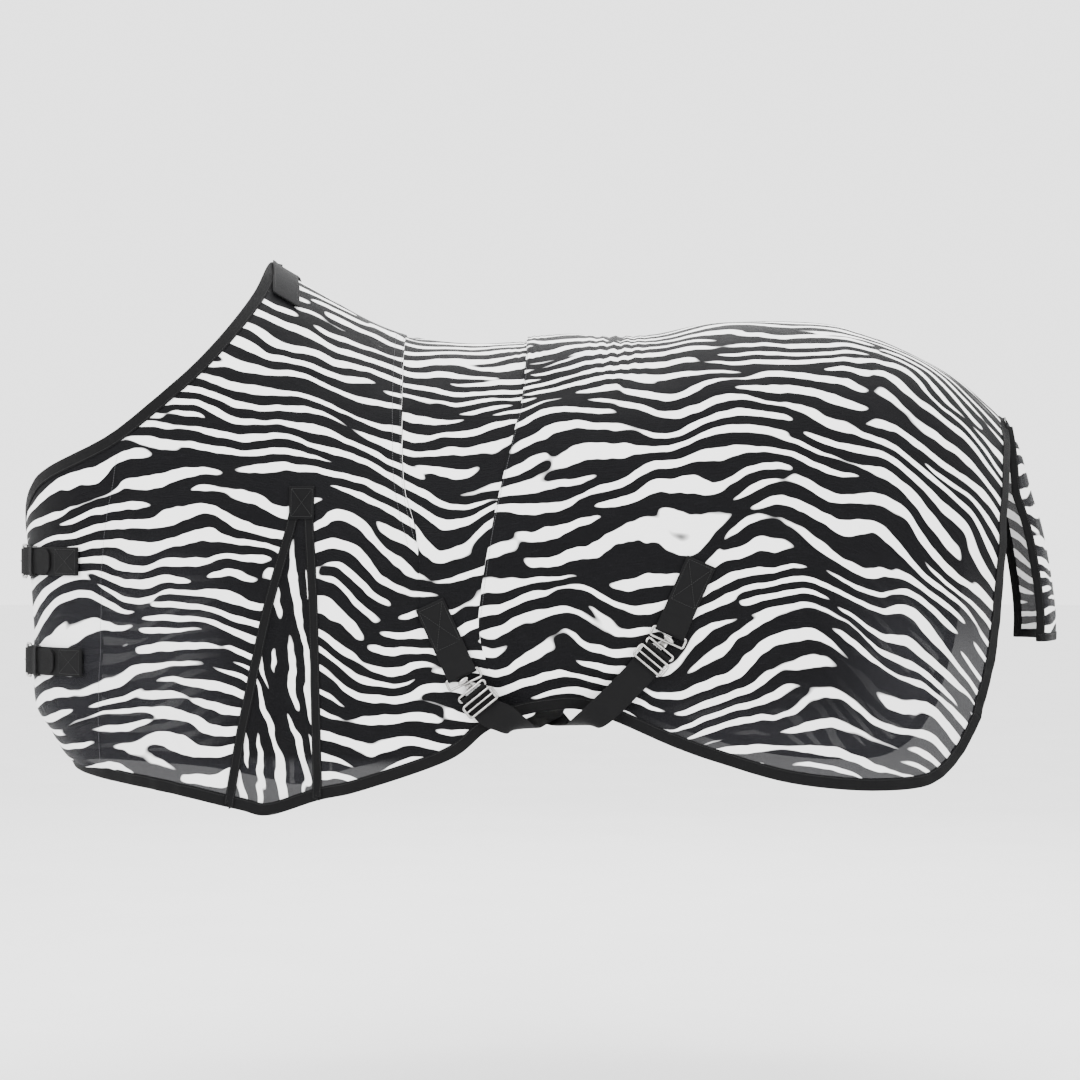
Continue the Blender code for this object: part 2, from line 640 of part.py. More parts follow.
def ring(name, spot, slant):
    """The square ring that the hook clips to; its origin is on its top bar."""
    points = loop_points(RING_WIDTH, RING_DEPTH, LOOP_CORNER, WIRE_RADIUS)
    shape = wire(name, [p + Vector((0, WIRE_RADIUS - RING_DEPTH / 2, 0)) for p in points], WIRE_RADIUS, True)
    thing = add(name, shape, METAL_FINISH)
    thing.matrix_world = hardware_frame(spot, slant) @ Matrix.Translation((0, -BAR_DROP, BAR_LIFT))
    return thing


def strap_hook(name, frame):
    """The hook on the strap's end: a loop for the webbing, a bent neck under the ring's bar, and a head."""
    loop = loop_points(RING_WIDTH - 2 * LOOP_CORNER, HOOK_LOOP, LOOP_CORNER, WIRE_RADIUS)
    low = WIRE_RADIUS - HOOK_REACH
    thing = add(name, wire(name, [p + Vector((0, low + HOOK_LOOP / 2 - 2 * WIRE_RADIUS, 0)) for p in loop],
                           WIRE_RADIUS, True), METAL_FINISH)
    thing.matrix_world = frame
    top = low + HOOK_LOOP - 3 * WIRE_RADIUS
    path = [(top, 0.0), (top + 0.0035, -0.0030), (-0.0020, -NECK_DIP), (0.0030, -NECK_DIP), (0.0058, -0.0020),
            (0.0060, 0.0030), (0.0056, HEAD_LIFT)]
    points = [Vector((0, a, b)) for a, b in path]
    outs = []
    for i in range(len(points)):
        ahead = points[min(i + 1, len(points) - 1)] - points[max(i - 1, 0)]
        outs.append(Vector((0, -ahead.z, ahead.y)))
    neck = loose(name + "_neck", ribbon_mesh(name, points, outs, NECK_WIDTH, NECK_THICK), frame)
    bm = bmesh.new()
    bmesh.ops.create_uvsphere(bm, u_segments=12, v_segments=8, radius=1.0)
    bmesh.ops.scale(bm, vec=HEAD_RADII, verts=bm.verts)
    bmesh.ops.translate(bm, vec=(0, *path[-1]), verts=bm.verts)
    join_solids(thing, [neck, loose(name + "_head", mesh_from(bm, name), frame)])
    return thing


def slide(name, frame):
    """The three-bar slide that sets the strap's length."""
    place = frame @ Matrix.Translation((0, -HOOK_REACH - SLIDE_REACH, 0.0040))
    loop = loop_points(RING_WIDTH, SLIDE_DEPTH, LOOP_CORNER, WIRE_RADIUS)
    thing = add(name, wire(name, loop, WIRE_RADIUS, True), METAL_FINISH)
    thing.matrix_world = place
    bar = cylinder(name, WIRE_RADIUS * 0.8, RING_WIDTH - 2 * WIRE_RADIUS, 8)
    join_solids(thing, [loose(name + "_bar", bar, place)])
    return thing


def belly_strap(name, frame, under, far_frame, far_under, level):
    """One of the crossed straps: from its hook, past the slide and under the belly to the right side."""
    out = frame.to_3x3() @ Vector((0, 0, 1))
    start = HOOK_REACH + WIRE_RADIUS + WEBBING_THICK / 2 + CLEAR
    stops = [(frame @ Vector((0, -start - step, -0.0004)), out) for step in (0, 0.018, 0.037)]
    stops += under_stops(under, 1)
    x, far_x = under[-1][0], far_under[-1][0]
    for across, share in UNDER_BELLY:
        crossing = x + (far_x - x) * share
        stops.append((Vector((crossing * LENGTH_GRADE, across * WIDTH_GRADE, level * DEPTH_GRADE)),
                      Vector((0, 0, -1))))
    stops += under_stops(far_under, -1)[::-1]
    flip = Matrix.Scale(-1, 4, (0, 1, 0))
    far_out = (flip @ far_frame).to_3x3() @ Vector((0, 0, 1))
    stops += [(flip @ far_frame @ Vector((0, -step, 0.0012)), far_out) for step in (0.036, 0.010)]
    places, facings = smooth_route(stops, 48)
    return ribbon(name, places, facings, WEBBING_WIDTH * STRAP_EASE, WEBBING_THICK, WEBBING_FINISH)


def under_stops(stops, side):
    """Places and facings of a strap that turns under the hem, on the left (1) or right (-1) side."""
    made = []
    for x, y, z, tilt in stops:
        place = Vector((x * LENGTH_GRADE, y * side * WIDTH_GRADE, z * DEPTH_GRADE))
        made.append((place, Vector((0, -side * math.cos(tilt), -math.sin(tilt)))))
    return made


def surcingles():
    """Both crossed belly straps, with their patches, rings, hooks and slides."""
    front = (FRONT_PATCH, FRONT_SLANT, FRONT_PULL, FRONT_UNDER)
    rear = (REAR_PATCH, REAR_SLANT, REAR_PULL, REAR_UNDER)
    for name, near, far, level in (("front", front, rear, FRONT_LEVEL), ("rear", rear, front, REAR_LEVEL)):
        spot, slant, pull, under = near
        webbing_patch("left_%s_patch" % name, spot, slant)
        plain = flat_patch("plain_%s_patch" % name, spot, slant)
        mirrored(plain, "right_%s_patch" % name)
        bpy.data.objects.remove(plain, do_unlink=True)
        frame = hook_frame(spot, slant, pull)
        ring("%s_strap_ring" % name, spot, slant)
        strap_hook("%s_strap_hook" % name, frame)
        slide("%s_strap_slide" % name, frame)
        far_spot, _, far_pull, far_under = far
        far_frame = hardware_frame(far_spot, far_pull)
        belly_strap("%s_belly_strap" % name, frame, under, far_frame, far_under, level)


def flat_patch(name, spot, slant):
    """A plain strip of webbing sewn flat, where a belly strap is stitched to the right side."""
    thing = add(name, box_mesh(name, (WEBBING_WIDTH, PATCH_LENGTH, WEBBING_THICK),
                               (0, PATCH_LENGTH / 2, WEBBING_THICK / 2)), WEBBING_FINISH)
    bm = bmesh.new()
    bm.from_mesh(thing.data)
    bmesh.ops.transform(bm, matrix=hardware_frame(spot, slant), verts=bm.verts)
    bm.to_mesh(thing.data)
    bm.free()
    return thing


# ---------------------------------------------------------------- tail flap and wither patch
FLAP_LINE = [(0.820, -0.150), (0.840, -0.205), (0.858, -0.270), (0.877, -0.335), (0.892, -0.420),
             (0.898, -0.480), (0.897, -0.524)]  # x and z down the flap's middle
FLAP_TURN = math.radians(88)  # round the tail, from the middle to each side edge
FLAP_BINDING = 0.014
FELT_LENGTH = 0.036  # along the spine
FELT_START = -0.4665
FELT_SWEEP = 0.012  # how far its ends lie behind its middle
FELT_DROP = 0.052  # its ends below the spine
FELT_LIFT = 0.0055
FELT_THICK = 0.002


def flap_section(share):
    """Back line, half width and wrap of the tail flap, a share of the way down it."""
    line = curved(FLAP_LINE)
    at = share * (len(line) - 1)
    low = min(int(at), len(line) - 2)
    back = line[low].lerp(line[low + 1], at - low)
    return back, FLAP_HALF_WIDTH * (0.62 + 0.38 * min(share * 1.6, 1)), FLAP_WRAP * min(share * 2.2 + 0.04, 1)


def flap_point(share, turn):
    back, half, wrap = flap_section(share)
    return Vector((back.x * LENGTH_GRADE - wrap * (1 - math.cos(turn)), half * math.sin(turn),
                   back.y * DEPTH_GRADE))


def tail_flap():
    """The flap that hangs over the tail, curved round it, and the tape round its three free edges."""
    rows, columns = 10, 8
    grid = [[flap_point(r / rows, FLAP_TURN * (2 * c / columns - 1)) for c in range(columns + 1)]
            for r in range(rows + 1)]
    bm = bmesh.new()
    made = [[bm.verts.new(p) for p in row] for row in grid]
    for upper, lower in zip(made, made[1:]):
        for a, b, c, d in zip(upper, upper[1:], lower[1:], lower):
            bm.faces.new((a, d, c, b))
    mesh = bpy.data.meshes.new("tail_flap")
    bm.to_mesh(mesh)
    bm.free()
    flap = add("tail_flap", mesh, CLOTH_FINISH)
    solid = flap.modifiers.new("cloth_thickness", "SOLIDIFY")
    solid.thickness = CLOTH
    solid.offset = -1
    edge = [(row[0], row[1]) for row in grid[2:-1]] + [(grid[-1][0], grid[-2][1])]
    edge += [(grid[-1][c], grid[-2][c]) for c in range(1, columns)] + [(grid[-1][-1], grid[-2][-2])]
    edge += [(row[-1], row[-2]) for row in grid[-2:1:-1]]
    edge_binding("tail_flap_binding", edge, 1, FLAP_BINDING)


def wither_patch():
    """The felt cap that stops the sheet rubbing the withers, over the top of the neck edge."""
    rows, columns = 10, 3
    grid = []
    for r in range(rows + 1):
        side = 2 * r / rows - 1
        row = []
        for c in range(columns + 1):
            along = c / columns
            x = FELT_START + FELT_LENGTH * along + FELT_SWEEP * abs(side)
            drop = FELT_DROP * side ** 2
            z = spine_height(x) - drop
            place = on_body(x, z)
            row.append(Vector((place.x, place.y * (-1 if side > 0 else 1), place.z)))
        grid.append(row)
    bm = bmesh.new()
    made = [[bm.verts.new(p) for p in row] for row in grid]
    for upper, lower in zip(made, made[1:]):
        for a, b, c, d in zip(upper, upper[1:], lower[1:], lower):
            bm.faces.new((a, b, c, d))
    bm.normal_update()
    for vert in bm.verts:
        vert.co += vert.normal * FELT_LIFT
    mesh = bpy.data.meshes.new("wither_patch")
    bm.to_mesh(mesh)
    bm.free()
    thing = add("wither_patch", mesh, WEBBING_FINISH)
    solid = thing.modifiers.new("felt_thickness", "SOLIDIFY")
    solid.thickness = FELT_THICK
    solid.offset = -1


# ---------------------------------------------------------------- chest fastenings
BUCKLE_PLACE = 0.086  # from the middle of the chest round to the middle of each buckle
BUCKLE_LENGTH = 0.036  # outside, along the strap
BUCKLE_LIFT = 0.0100
PRONG_RADIUS = 0.0014
KEEPER_PLACE = 0.134
KEEPER_WIDTH = 0.012
KEEPER_THICK = 0.0014
KEEPER_LOW, KEEPER_HIGH = 0.0058, 0.0185  # its feet and its bridge, off the body
STRAP_TIP = 0.178
STRAP_THICK = 0.0022
STRAP_SHARE = 0.9  # of the patch's width
SEWN_LIFT = 0.0046  # of the strap where it lies on the right side
SPAN_BOW = 0.0035  # the strap stands ahead of the chest where it crosses the opening
PATCH_REACHES = (0.128, 0.156, 0.186, 0.216, 0.240)  # round the chest, under the patch's fold
PATCH_REST = 0.0038  # of the patch's sewn part, off the body
PATCH_OVER = 0.0088  # of its outer end, over the fold
CHEST_CURVE = 0.30  # length in x over which the chest's line is followed


def chest_line(height):
    """Places round the left half of the chest at one height, starting in the middle."""
    front = front_line(-height)
    line = [Vector((front * LENGTH_GRADE, 0, height * DEPTH_GRADE))]
    steps = 120
    line += [on_body(front + CHEST_CURVE * (i / steps) ** 2, height) for i in range(steps + 1)]
    return line


def round_chest(line, reach, lift):
    """The place and facing at a distance round the chest, to the left of the middle or (minus) the right."""
    left_over = abs(reach)
    for a, b in zip(line, line[1:]):
        step = (b - a).length
        if left_over <= step:
            break
        left_over -= step
    ahead = (b - a).normalized()
    out = Vector((ahead.y, -ahead.x, 0))
    place = a + ahead * left_over + out * lift
    side = 1 if reach >= 0 else -1
    return Vector((place.x, place.y * side, place.z)), Vector((out.x, out.y * side, 0))


def cut_from(thing, name, mesh, place):
    """Boolean difference of one cutter."""
    cutter = loose(name, mesh, place)
    cutters.objects.link(cutter)
    cutter.hide_render = True
    cutter.display_type = "WIRE"
    cut = thing.modifiers.new("cut_" + name, "BOOLEAN")
    cut.operation = "DIFFERENCE"
    cut.object = cutter
    cut.solver = "EXACT"


def chest_fastening(level, height):
    """The buckle on its folded patch, its prong and keeper, and the right side's strap that it takes."""
    line = chest_line(height)
    place, out = round_chest(line, BUCKLE_PLACE, BUCKLE_LIFT)
    up = Vector((0, 0, 1))
    along = up.cross(out)  # round the chest, away from the middle
    along = along if along.x > 0 else -along
    frame = Matrix((along, out.cross(along), out)).transposed().to_4x4()
    frame.translation = place
    reach = BUCKLE_LENGTH / 2 - WIRE_RADIUS
    heel = place + along * reach
    bar = place - along * reach

    corners = loop_points(BUCKLE_LENGTH, CHEST_WEBBING + 4 * LOOP_CORNER, LOOP_CORNER, WIRE_RADIUS)
    buckle = add("%s_chest_buckle" % level, wire("buckle", [p - Vector((reach, 0, 0)) for p in corners],
                                                 WIRE_RADIUS, True), METAL_FINISH)
    buckle.matrix_world = frame @ Matrix.Translation((reach, 0, 0))

    eye = WIRE_RADIUS + 0.0005 + PRONG_RADIUS
    sides = 12
    turns = [math.tau * i / sides for i in range(sides)]
    circle = [Vector((eye * math.cos(t), 0, eye * math.sin(t))) for t in turns]
    prong = add("%s_chest_prong" % level, wire("prong", circle, PRONG_RADIUS, True), METAL_FINISH)
    prong.matrix_world = frame @ Matrix.Translation((reach, 0, 0))
    tip = [Vector((-eye, 0, 0.0005)), Vector((-reach, 0, 0.0022)), Vector((0.003 - 2 * reach, 0, 0.0039)),
           Vector((-0.0025 - 2 * reach, 0, WIRE_RADIUS + PRONG_RADIUS + 0.0006))]
    join_solids(prong, [loose(level + "_tip", wire("tip", tip, PRONG_RADIUS, False),
                              frame @ Matrix.Translation((reach, 0, 0)))])

    fold = EYE_RADIUS + STRAP_THICK / 2
    sewn = []
    for turn in (62, 95, 130, 165, 200, 235, 264):
        angle = math.radians(turn)
        sewn.append(heel + (along * math.cos(angle) + out * math.sin(angle)) * fold)
    over = round_chest(line, BUCKLE_PLACE + reach + 0.018, PATCH_OVER)[0]
    points = [over] + sewn
    outs = [out] + [(p - heel).normalized() for p in sewn]
    for reach_round in PATCH_REACHES:
        spot, facing = round_chest(line, reach_round, PATCH_REST)
        points.append(spot)
        outs.append(-facing)
    patch = ribbon("left_%s_chest_patch" % level, points, outs, CHEST_WEBBING, STRAP_THICK, WEBBING_FINISH)
    cut_from(patch, level + "_prong_slot", box_mesh("slot", (0.016, 0.009, 0.016)),
             frame @ Matrix.Translation((reach - 0.0015, 0, 0)))

    stops = [round_chest(line, r, SEWN_LIFT) for r in (-0.240, -0.200, -0.160, -0.125, -0.090, -0.055)]
    for across in (-0.020, 0.020):
        spot, facing = round_chest(line, across, SEWN_LIFT)
        stops.append((spot - Vector((SPAN_BOW, 0, 0)), facing))
    stops.append(round_chest(line, 0.046, SEWN_LIFT))
    stops.append((bar - out * (WIRE_RADIUS + STRAP_THICK / 2 + 0.0007), out))
    stops.append(((bar + heel) / 2 + out * 0.0008, out))
    stops.append((heel + out * (fold + STRAP_THICK + 0.0026), out))
    stops.append(round_chest(line, 0.122, 0.0160))
    stops.append(round_chest(line, 0.140, 0.0125))
    stops.append(round_chest(line, STRAP_TIP, 0.0105))
    points, outs = smooth_route(stops, 40)
    strap = ribbon("%s_chest_strap" % level, points, outs, CHEST_WEBBING * STRAP_SHARE, STRAP_THICK,
                   WEBBING_FINISH)
    cut_from(strap, level + "_prong_hole", box_mesh("hole", (0.023, 0.0056, 0.016)),
             frame @ Matrix.Translation((0.0020, 0, 0.0012)))

    base, facing = round_chest(line, KEEPER_PLACE, 0.0)
    half, low, high, bend = CHEST_WEBBING / 2 + 2 * CLEAR, KEEPER_LOW, KEEPER_HIGH, LOOP_CORNER
    bridge = [(-half, low), (-half, high - bend), (-half + bend, high), (0, high), (half - bend, high),
              (half, high - bend), (half, low)]
    points = [base + up * a + facing * b for a, b in bridge]
    outs = [-up, facing - up, facing, facing, facing, facing + up, up]
    ribbon("%s_chest_keeper" % level, points, outs, KEEPER_WIDTH, KEEPER_THICK, WEBBING_FINISH)


sheet_parts, cutters = fresh_scene()
left, layout = panels()
left += [chest_facing()] + bindings(layout) + gusset_tapes()
for piece in left:
    mirrored(piece, piece.name.replace("left_", "right_"))
surcingles()
tail_flap()
wither_patch()
chest_fastening("upper", -0.388)
chest_fastening("lower", -0.557)
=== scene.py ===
"""Looks of a horse's zebra-print fly sheet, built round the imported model.
Metres, +X to the tail, -Y the horse's left, +Z up, the origin on the horse's back."""
import math

import bpy
import numpy as np
from mathutils import Matrix, Vector


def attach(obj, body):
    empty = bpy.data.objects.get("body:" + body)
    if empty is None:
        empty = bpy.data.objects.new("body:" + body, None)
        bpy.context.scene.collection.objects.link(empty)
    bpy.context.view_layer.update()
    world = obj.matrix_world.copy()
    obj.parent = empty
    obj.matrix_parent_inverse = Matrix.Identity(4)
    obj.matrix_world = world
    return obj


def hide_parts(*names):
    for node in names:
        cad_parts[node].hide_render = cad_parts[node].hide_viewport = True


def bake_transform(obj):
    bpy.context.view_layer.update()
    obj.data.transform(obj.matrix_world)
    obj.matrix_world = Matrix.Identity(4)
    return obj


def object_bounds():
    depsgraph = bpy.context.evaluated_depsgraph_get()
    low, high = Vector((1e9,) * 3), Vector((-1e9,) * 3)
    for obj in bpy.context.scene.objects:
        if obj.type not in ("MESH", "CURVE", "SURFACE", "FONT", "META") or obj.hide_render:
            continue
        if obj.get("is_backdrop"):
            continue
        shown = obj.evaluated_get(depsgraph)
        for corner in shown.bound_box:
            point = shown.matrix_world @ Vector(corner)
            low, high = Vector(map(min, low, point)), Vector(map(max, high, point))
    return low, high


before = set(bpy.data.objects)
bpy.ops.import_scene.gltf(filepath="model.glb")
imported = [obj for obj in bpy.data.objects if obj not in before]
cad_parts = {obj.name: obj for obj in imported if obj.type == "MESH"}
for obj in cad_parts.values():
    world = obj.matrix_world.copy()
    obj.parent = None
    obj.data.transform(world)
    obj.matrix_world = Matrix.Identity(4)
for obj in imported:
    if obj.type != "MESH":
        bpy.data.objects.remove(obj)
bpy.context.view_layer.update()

# ------------------------------------------------------------------ camera
# The camera stands square to the horse's left side, level with its stifle, far enough back
# that the whole sheet shows with little perspective.
camera = bpy.data.objects.new("camera", bpy.data.cameras.new("camera"))
camera.data.lens = 85.7
camera.data.sensor_width = 36
camera.data.clip_end = 60
camera.location = (0, -4.5, -0.352)
camera.rotation_euler = (math.radians(90), 0, 0)
bpy.context.scene.collection.objects.link(camera)
bpy.context.scene.camera = camera

# ------------------------------------------------------------------ left and right side cloth
# Each side of the sheet is one width of polyester fly mesh, printed with zebra stripes, cut
# from the neck to the tail and sewn to the other side along the spine. Two tucks sewn down
# from the spine, at the shoulder and the girth, shape it to the horse; below them it hangs free.
LEFT, RIGHT = -1, 1
CLOTH = 0.0009
NECK_EDGE = [(-0.892, -0.333), (-0.886, -0.296), (-0.866, -0.258), (-0.832, -0.231), (-0.713, -0.176),
             (-0.613, -0.099), (-0.541, -0.021), (-0.488, 0.064), (-0.469, 0.133)]
SPINE = [(-0.469, 0.133), (-0.430, 0.107), (-0.360, 0.066), (-0.300, 0.033), (-0.236, 0.006),
         (-0.168, -0.005), (-0.100, -0.009), (-0.025, -0.004), (0.050, 0.003), (0.120, 0.001),
         (0.200, 0.007), (0.290, 0.025), (0.400, 0.030), (0.483, 0.026), (0.536, 0.016), (0.612, -0.012),
         (0.709, -0.060), (0.773, -0.110), (0.803, -0.137)]
FRONT_EDGE = [(-0.892, -0.333), (-0.879, -0.491), (-0.880, -0.582), (-0.874, -0.640), (-0.850, -0.678),
              (-0.828, -0.714), (-0.806, -0.739)]
HEM = [(-0.806, -0.739), (-0.720, -0.754), (-0.608, -0.770), (-0.496, -0.794), (-0.446, -0.803),
       (-0.362, -0.777), (-0.294, -0.761), (-0.150, -0.710), (-0.090, -0.664), (-0.040, -0.640),
       (0.020, -0.628), (0.070, -0.628), (0.132, -0.650), (0.220, -0.688), (0.293, -0.714), (0.403, -0.745),
       (0.518, -0.759), (0.615, -0.756), (0.660, -0.740), (0.695, -0.710), (0.718, -0.675), (0.733, -0.646)]
REAR_EDGE = [(0.803, -0.137), (0.805, -0.170), (0.797, -0.220), (0.784, -0.300), (0.776, -0.402),
             (0.760, -0.530), (0.733, -0.646)]
CREST_AHEAD = [(-0.950, 0.640), (-0.700, 0.360), (-0.560, 0.210)]
WIDTHS = [(-0.400, 0.275), (-0.250, 0.300), (0.000, 0.320), (0.200, 0.318), (0.400, 0.315)]
ROUND_DEPTHS = [(-0.950, 0.46), (-0.400, 0.44), (-0.150, 0.38), (0.100, 0.35), (0.450, 0.33), (0.803, 0.33)]
ROUND_POWERS = [(-0.950, 1.60), (-0.400, 1.65), (-0.150, 1.90), (0.100, 2.05), (0.803, 2.10)]
CHEST_BACK, CHEST_POWER, CHEST_EDGE = -0.400, 2.25, 0.010
RUMP_START, RUMP_END, RUMP_POWER = 0.400, 0.870, 2.20
SHOULDER_TUCK = [(-0.233, 0.005), (-0.230, -0.137), (-0.223, -0.262), (-0.200, -0.360), (-0.200, -0.540),
                 (-0.205, -0.731)]
BARREL_TUCK = [(-0.021, -0.003), (-0.030, -0.116), (-0.057, -0.232), (-0.080, -0.340), (-0.100, -0.480),
               (-0.085, -0.560), (-0.060, -0.6485)]
GUSSET_TOP = (-0.392, -0.270)
GUSSET_FRONT = [GUSSET_TOP, (-0.405, -0.330), (-0.448, -0.472), (-0.487, -0.647), (-0.512, -0.791)]
GUSSET_BACK = [GUSSET_TOP, (-0.384, -0.330), (-0.374, -0.460), (-0.369, -0.565), (-0.364, -0.7775)]
DART_LINE = [(-0.400, 0.089), (-0.395, -0.100), GUSSET_TOP]
FRONT_PATCH, REAR_PATCH = (-0.1290, -0.5660), (0.2135, -0.4975)  # ring ends of the belly straps' patches
ROWS_ABOVE, ROWS_BELOW = 72, 84  # of threads of the mesh, above and below the gusset's top


def smooth_line(points, steps=14):
    """A smooth line through the points (Catmull-Rom)."""
    p = np.array(points, float)
    p = np.vstack([2 * p[0] - p[1], p, 2 * p[-1] - p[-2]])
    t = (np.arange(steps) / steps)[:, None]
    runs = [0.5 * (2 * b + (c - a) * t + (2 * a - 5 * b + 4 * c - d) * t ** 2
                   + (3 * b - a - 3 * c + d) * t ** 3) for a, b, c, d in zip(p, p[1:], p[2:], p[3:])]
    return np.vstack(runs + [p[-2:-1]])


def reading(points):
    """A function that reads a smooth value at x from (x, value) points."""
    line = smooth_line(points)
    return lambda x: np.interp(x, line[:, 0], line[:, 1])


spine_height = reading(CREST_AHEAD + SPINE)
side_width = reading(WIDTHS)
round_depth = reading(ROUND_DEPTHS)
round_power = reading(ROUND_POWERS)
front_line = reading([(-z, x) for x, z in FRONT_EDGE])
shoulder_tuck = reading([(-z, x) for x, z in SHOULDER_TUCK])
barrel_tuck = reading([(-z, x) for x, z in BARREL_TUCK])


def rounded(share, power):
    share = np.clip(share, 0.0, 1.0)
    return (1 - (1 - share) ** power) ** (1 / power)


def body_half(x, z):
    """Half width of the horse's body, with the sheet on it, at (x, z)."""
    width = side_width(np.clip(x, CHEST_BACK, RUMP_START))
    front = np.where(z < NECK_EDGE[0][1], front_line(-z), NECK_EDGE[0][0])
    chest = CHEST_EDGE + (width - CHEST_EDGE) * rounded((x - front) / (CHEST_BACK - front), CHEST_POWER)
    rump = width * rounded((RUMP_END - x) / (RUMP_END - RUMP_START), RUMP_POWER)
    width = np.where(x < CHEST_BACK, chest, np.where(x > RUMP_START, rump, width))
    return width * rounded((spine_height(x) - z) / round_depth(x), round_power(x))


def on_body(x, z):
    x, z = np.broadcast_arrays(np.asarray(x, float), np.asarray(z, float))
    return np.stack([x, -body_half(x, z), z], -1)


def unit(v):
    return v / np.maximum(np.linalg.norm(v, axis=-1, keepdims=True), 1e-12)


def facing(x, z):
    """The way the left side's surface looks, outwards."""
    step = 0.0008
    along = on_body(x + step, z) - on_body(x - step, z)
    down = on_body(x, z - step) - on_body(x, z)
    return unit(np.cross(down, along))


def ramp(value, start, end):
    """0 before start, 1 past end, smooth between."""
    t = np.clip((value - start) / (end - start), 0.0, 1.0)
    return t * t * (3 - 2 * t)


def ripples(x, z, wave, seed):
    """A smooth random field of about that wavelength, mostly from -1 to 1."""
    draw = np.random.default_rng(seed)
    total = 0.0
    for _ in range(14):
        turn, size, start = draw.uniform(0, math.pi), wave * draw.uniform(0.7, 1.5), draw.uniform(0, math.tau)
        total = total + np.sin((x * math.cos(turn) + z * math.sin(turn)) * math.tau / size + start)
    return total / 4.6


def near(x, z, spot, reach):
    """1 at a spot, fading to 0 past reach."""
    return np.exp(-(((x - spot[0]) ** 2 + (z - spot[1]) ** 2) / reach ** 2) ** 2)


def hump(value, middle, width):
    """1 at the middle, fading to 0 on both sides of it."""
    return np.exp(-((value - middle) / width) ** 2)


def shoulder_lap(x, z):
    """The step where the shoulder tuck is sewn down, and the hollow behind it."""
    past = x - shoulder_tuck(-z)
    lap = 0.0015 * (1 - ramp(-z, 0.30, 0.40)) * ramp(past, -0.030, -0.018) * (past < 0)
    return lap - 0.0022 * hump(past, 0.010, 0.022) * (past > 0) * (1 - ramp(-z, 0.42, 0.60))


def barrel_pleat(x, z, drop):
    """The pleat at the girth tuck, which stands up most at the spine."""
    past = x - barrel_tuck(-z)
    sewn = 1 - ramp(-z, 0.46, 0.56)
    behind = 0.0024 * sewn * hump(past, 0.0, 0.035) * (past > 0)
    ahead = 0.0018 * sewn * hump(past, 0.0, 0.030) * (past <= 0)
    top = 0.0050 * (1 - ramp(drop, 0.02, 0.12)) * ramp(past, -0.002, 0.002) * (1 - ramp(past, 0.05, 0.22))
    return behind - ahead + top


def spine_puckers(x, drop):
    """Fine gathers across the spine, at the girth tuck and a little behind it."""
    rear = 0.0022 * hump(x, 0.130, 0.045) * (1 - ramp(drop, 0.03, 0.13))
    girth = 0.0011 * hump(x, -0.020, 0.030) * (1 - ramp(drop, 0.02, 0.10))
    return (rear * np.sin((x + 0.25 * drop) * math.tau / 0.021)
            + girth * np.sin((x - 0.1 * drop) * math.tau / 0.012))


def hanging_folds(x, z, drop, seed):
    """Upright folds where the cloth hangs free, soft rolls all over, a crease and a bunched place."""
    hang = ramp(drop, 0.38, 0.74) * (ramp(x, 0.16, 0.36) + 0.7 * (1 - ramp(x, -0.34, -0.12)))
    hang = 0.0062 * hang * ripples(x, 0.16 * z, 0.150, seed)
    soft = 0.0016 * ripples(x, 0.55 * z, 0.170, seed + 1) + 0.0007 * ripples(x, 0.8 * z, 0.060, seed + 2)
    slack = 0.0008 * ripples(1.6 * x + 0.9 * z, 0.5 * z - 0.4 * x, 0.048, seed + 3) * ramp(drop, 0.2, 0.5)
    crease = 0.0050 * hump(x + 0.10 * (z + 0.42), 0.405, 0.016)
    crease = crease * ramp(-z, 0.27, 0.34) * (1 - ramp(-z, 0.50, 0.58))
    bunch = near(x, z, (-0.055, -0.500), 0.075) * 0.0030
    bunch = bunch * np.sin((0.8 * x + 0.6 * z) * math.tau / 0.034)
    return (soft + slack + hang + crease + bunch) * ramp(drop, 0.004, 0.06)


def folds(x, z, side):
    """How far the cloth stands off the horse's shape. The sewn patches and the chest lie flatter."""
    drop = spine_height(x) - z
    patches = near(x, z, (-0.150, -0.530), 0.110) + near(x, z, (0.235, -0.460), 0.110)
    free = 1 - np.minimum(patches, 1)
    gathered = (barrel_pleat(x, z, drop) + spine_puckers(x, drop)) * free
    chest = 1 - ramp(x, -0.82, -0.70)
    own = hanging_folds(x, z, drop, 20 if side == LEFT else 60)
    own = own * (1 - 0.85 * np.minimum(patches, 1)) * (1 - 0.80 * chest)
    curl = 0.016 * ramp(-z, 0.55, 0.64) * ramp(x, -0.130, -0.060) * (1 - ramp(x, 0.110, 0.190))
    return shoulder_lap(x, z) * (1 - 0.6 * patches) + gathered + own - curl


def laid(x, z, side, lift=0.0):
    """Places on the draped cloth, or lifted off it."""
    x, z = np.asarray(x, float), np.asarray(z, float)
    place = on_body(x, z) + facing(x, z) * (folds(x, z, side) + lift)[..., None]
    place[..., 1] *= -side
    return place


def looks(x, z, side):
    return facing(np.asarray(x, float), np.asarray(z, float)) * (1, -side, 1)


def reach_along(places):
    """Distances from the first of a line of places to each of them."""
    return np.concatenate([[0.0], np.cumsum(np.linalg.norm(np.diff(places, axis=0), axis=1))])


def spaced(points, count):
    """Pattern points along a smooth line, evenly spaced over the body."""
    line = smooth_line(points)
    reach = reach_along(on_body(line[:, 0], line[:, 1]))
    goals = np.linspace(0.0, reach[-1], count + 1)
    return np.stack([np.interp(goals, reach, line[:, i]) for i in (0, 1)], -1)


def shifted(points, along):
    return [(x + along, z) for x, z in points]


def part_of(points, low, high):
    """The points of a line between two of its places, with those places."""
    inner = [p for p in points if low[0] + 0.012 < p[0] < high[0] - 0.012]
    return [tuple(low)] + inner + [tuple(high)]


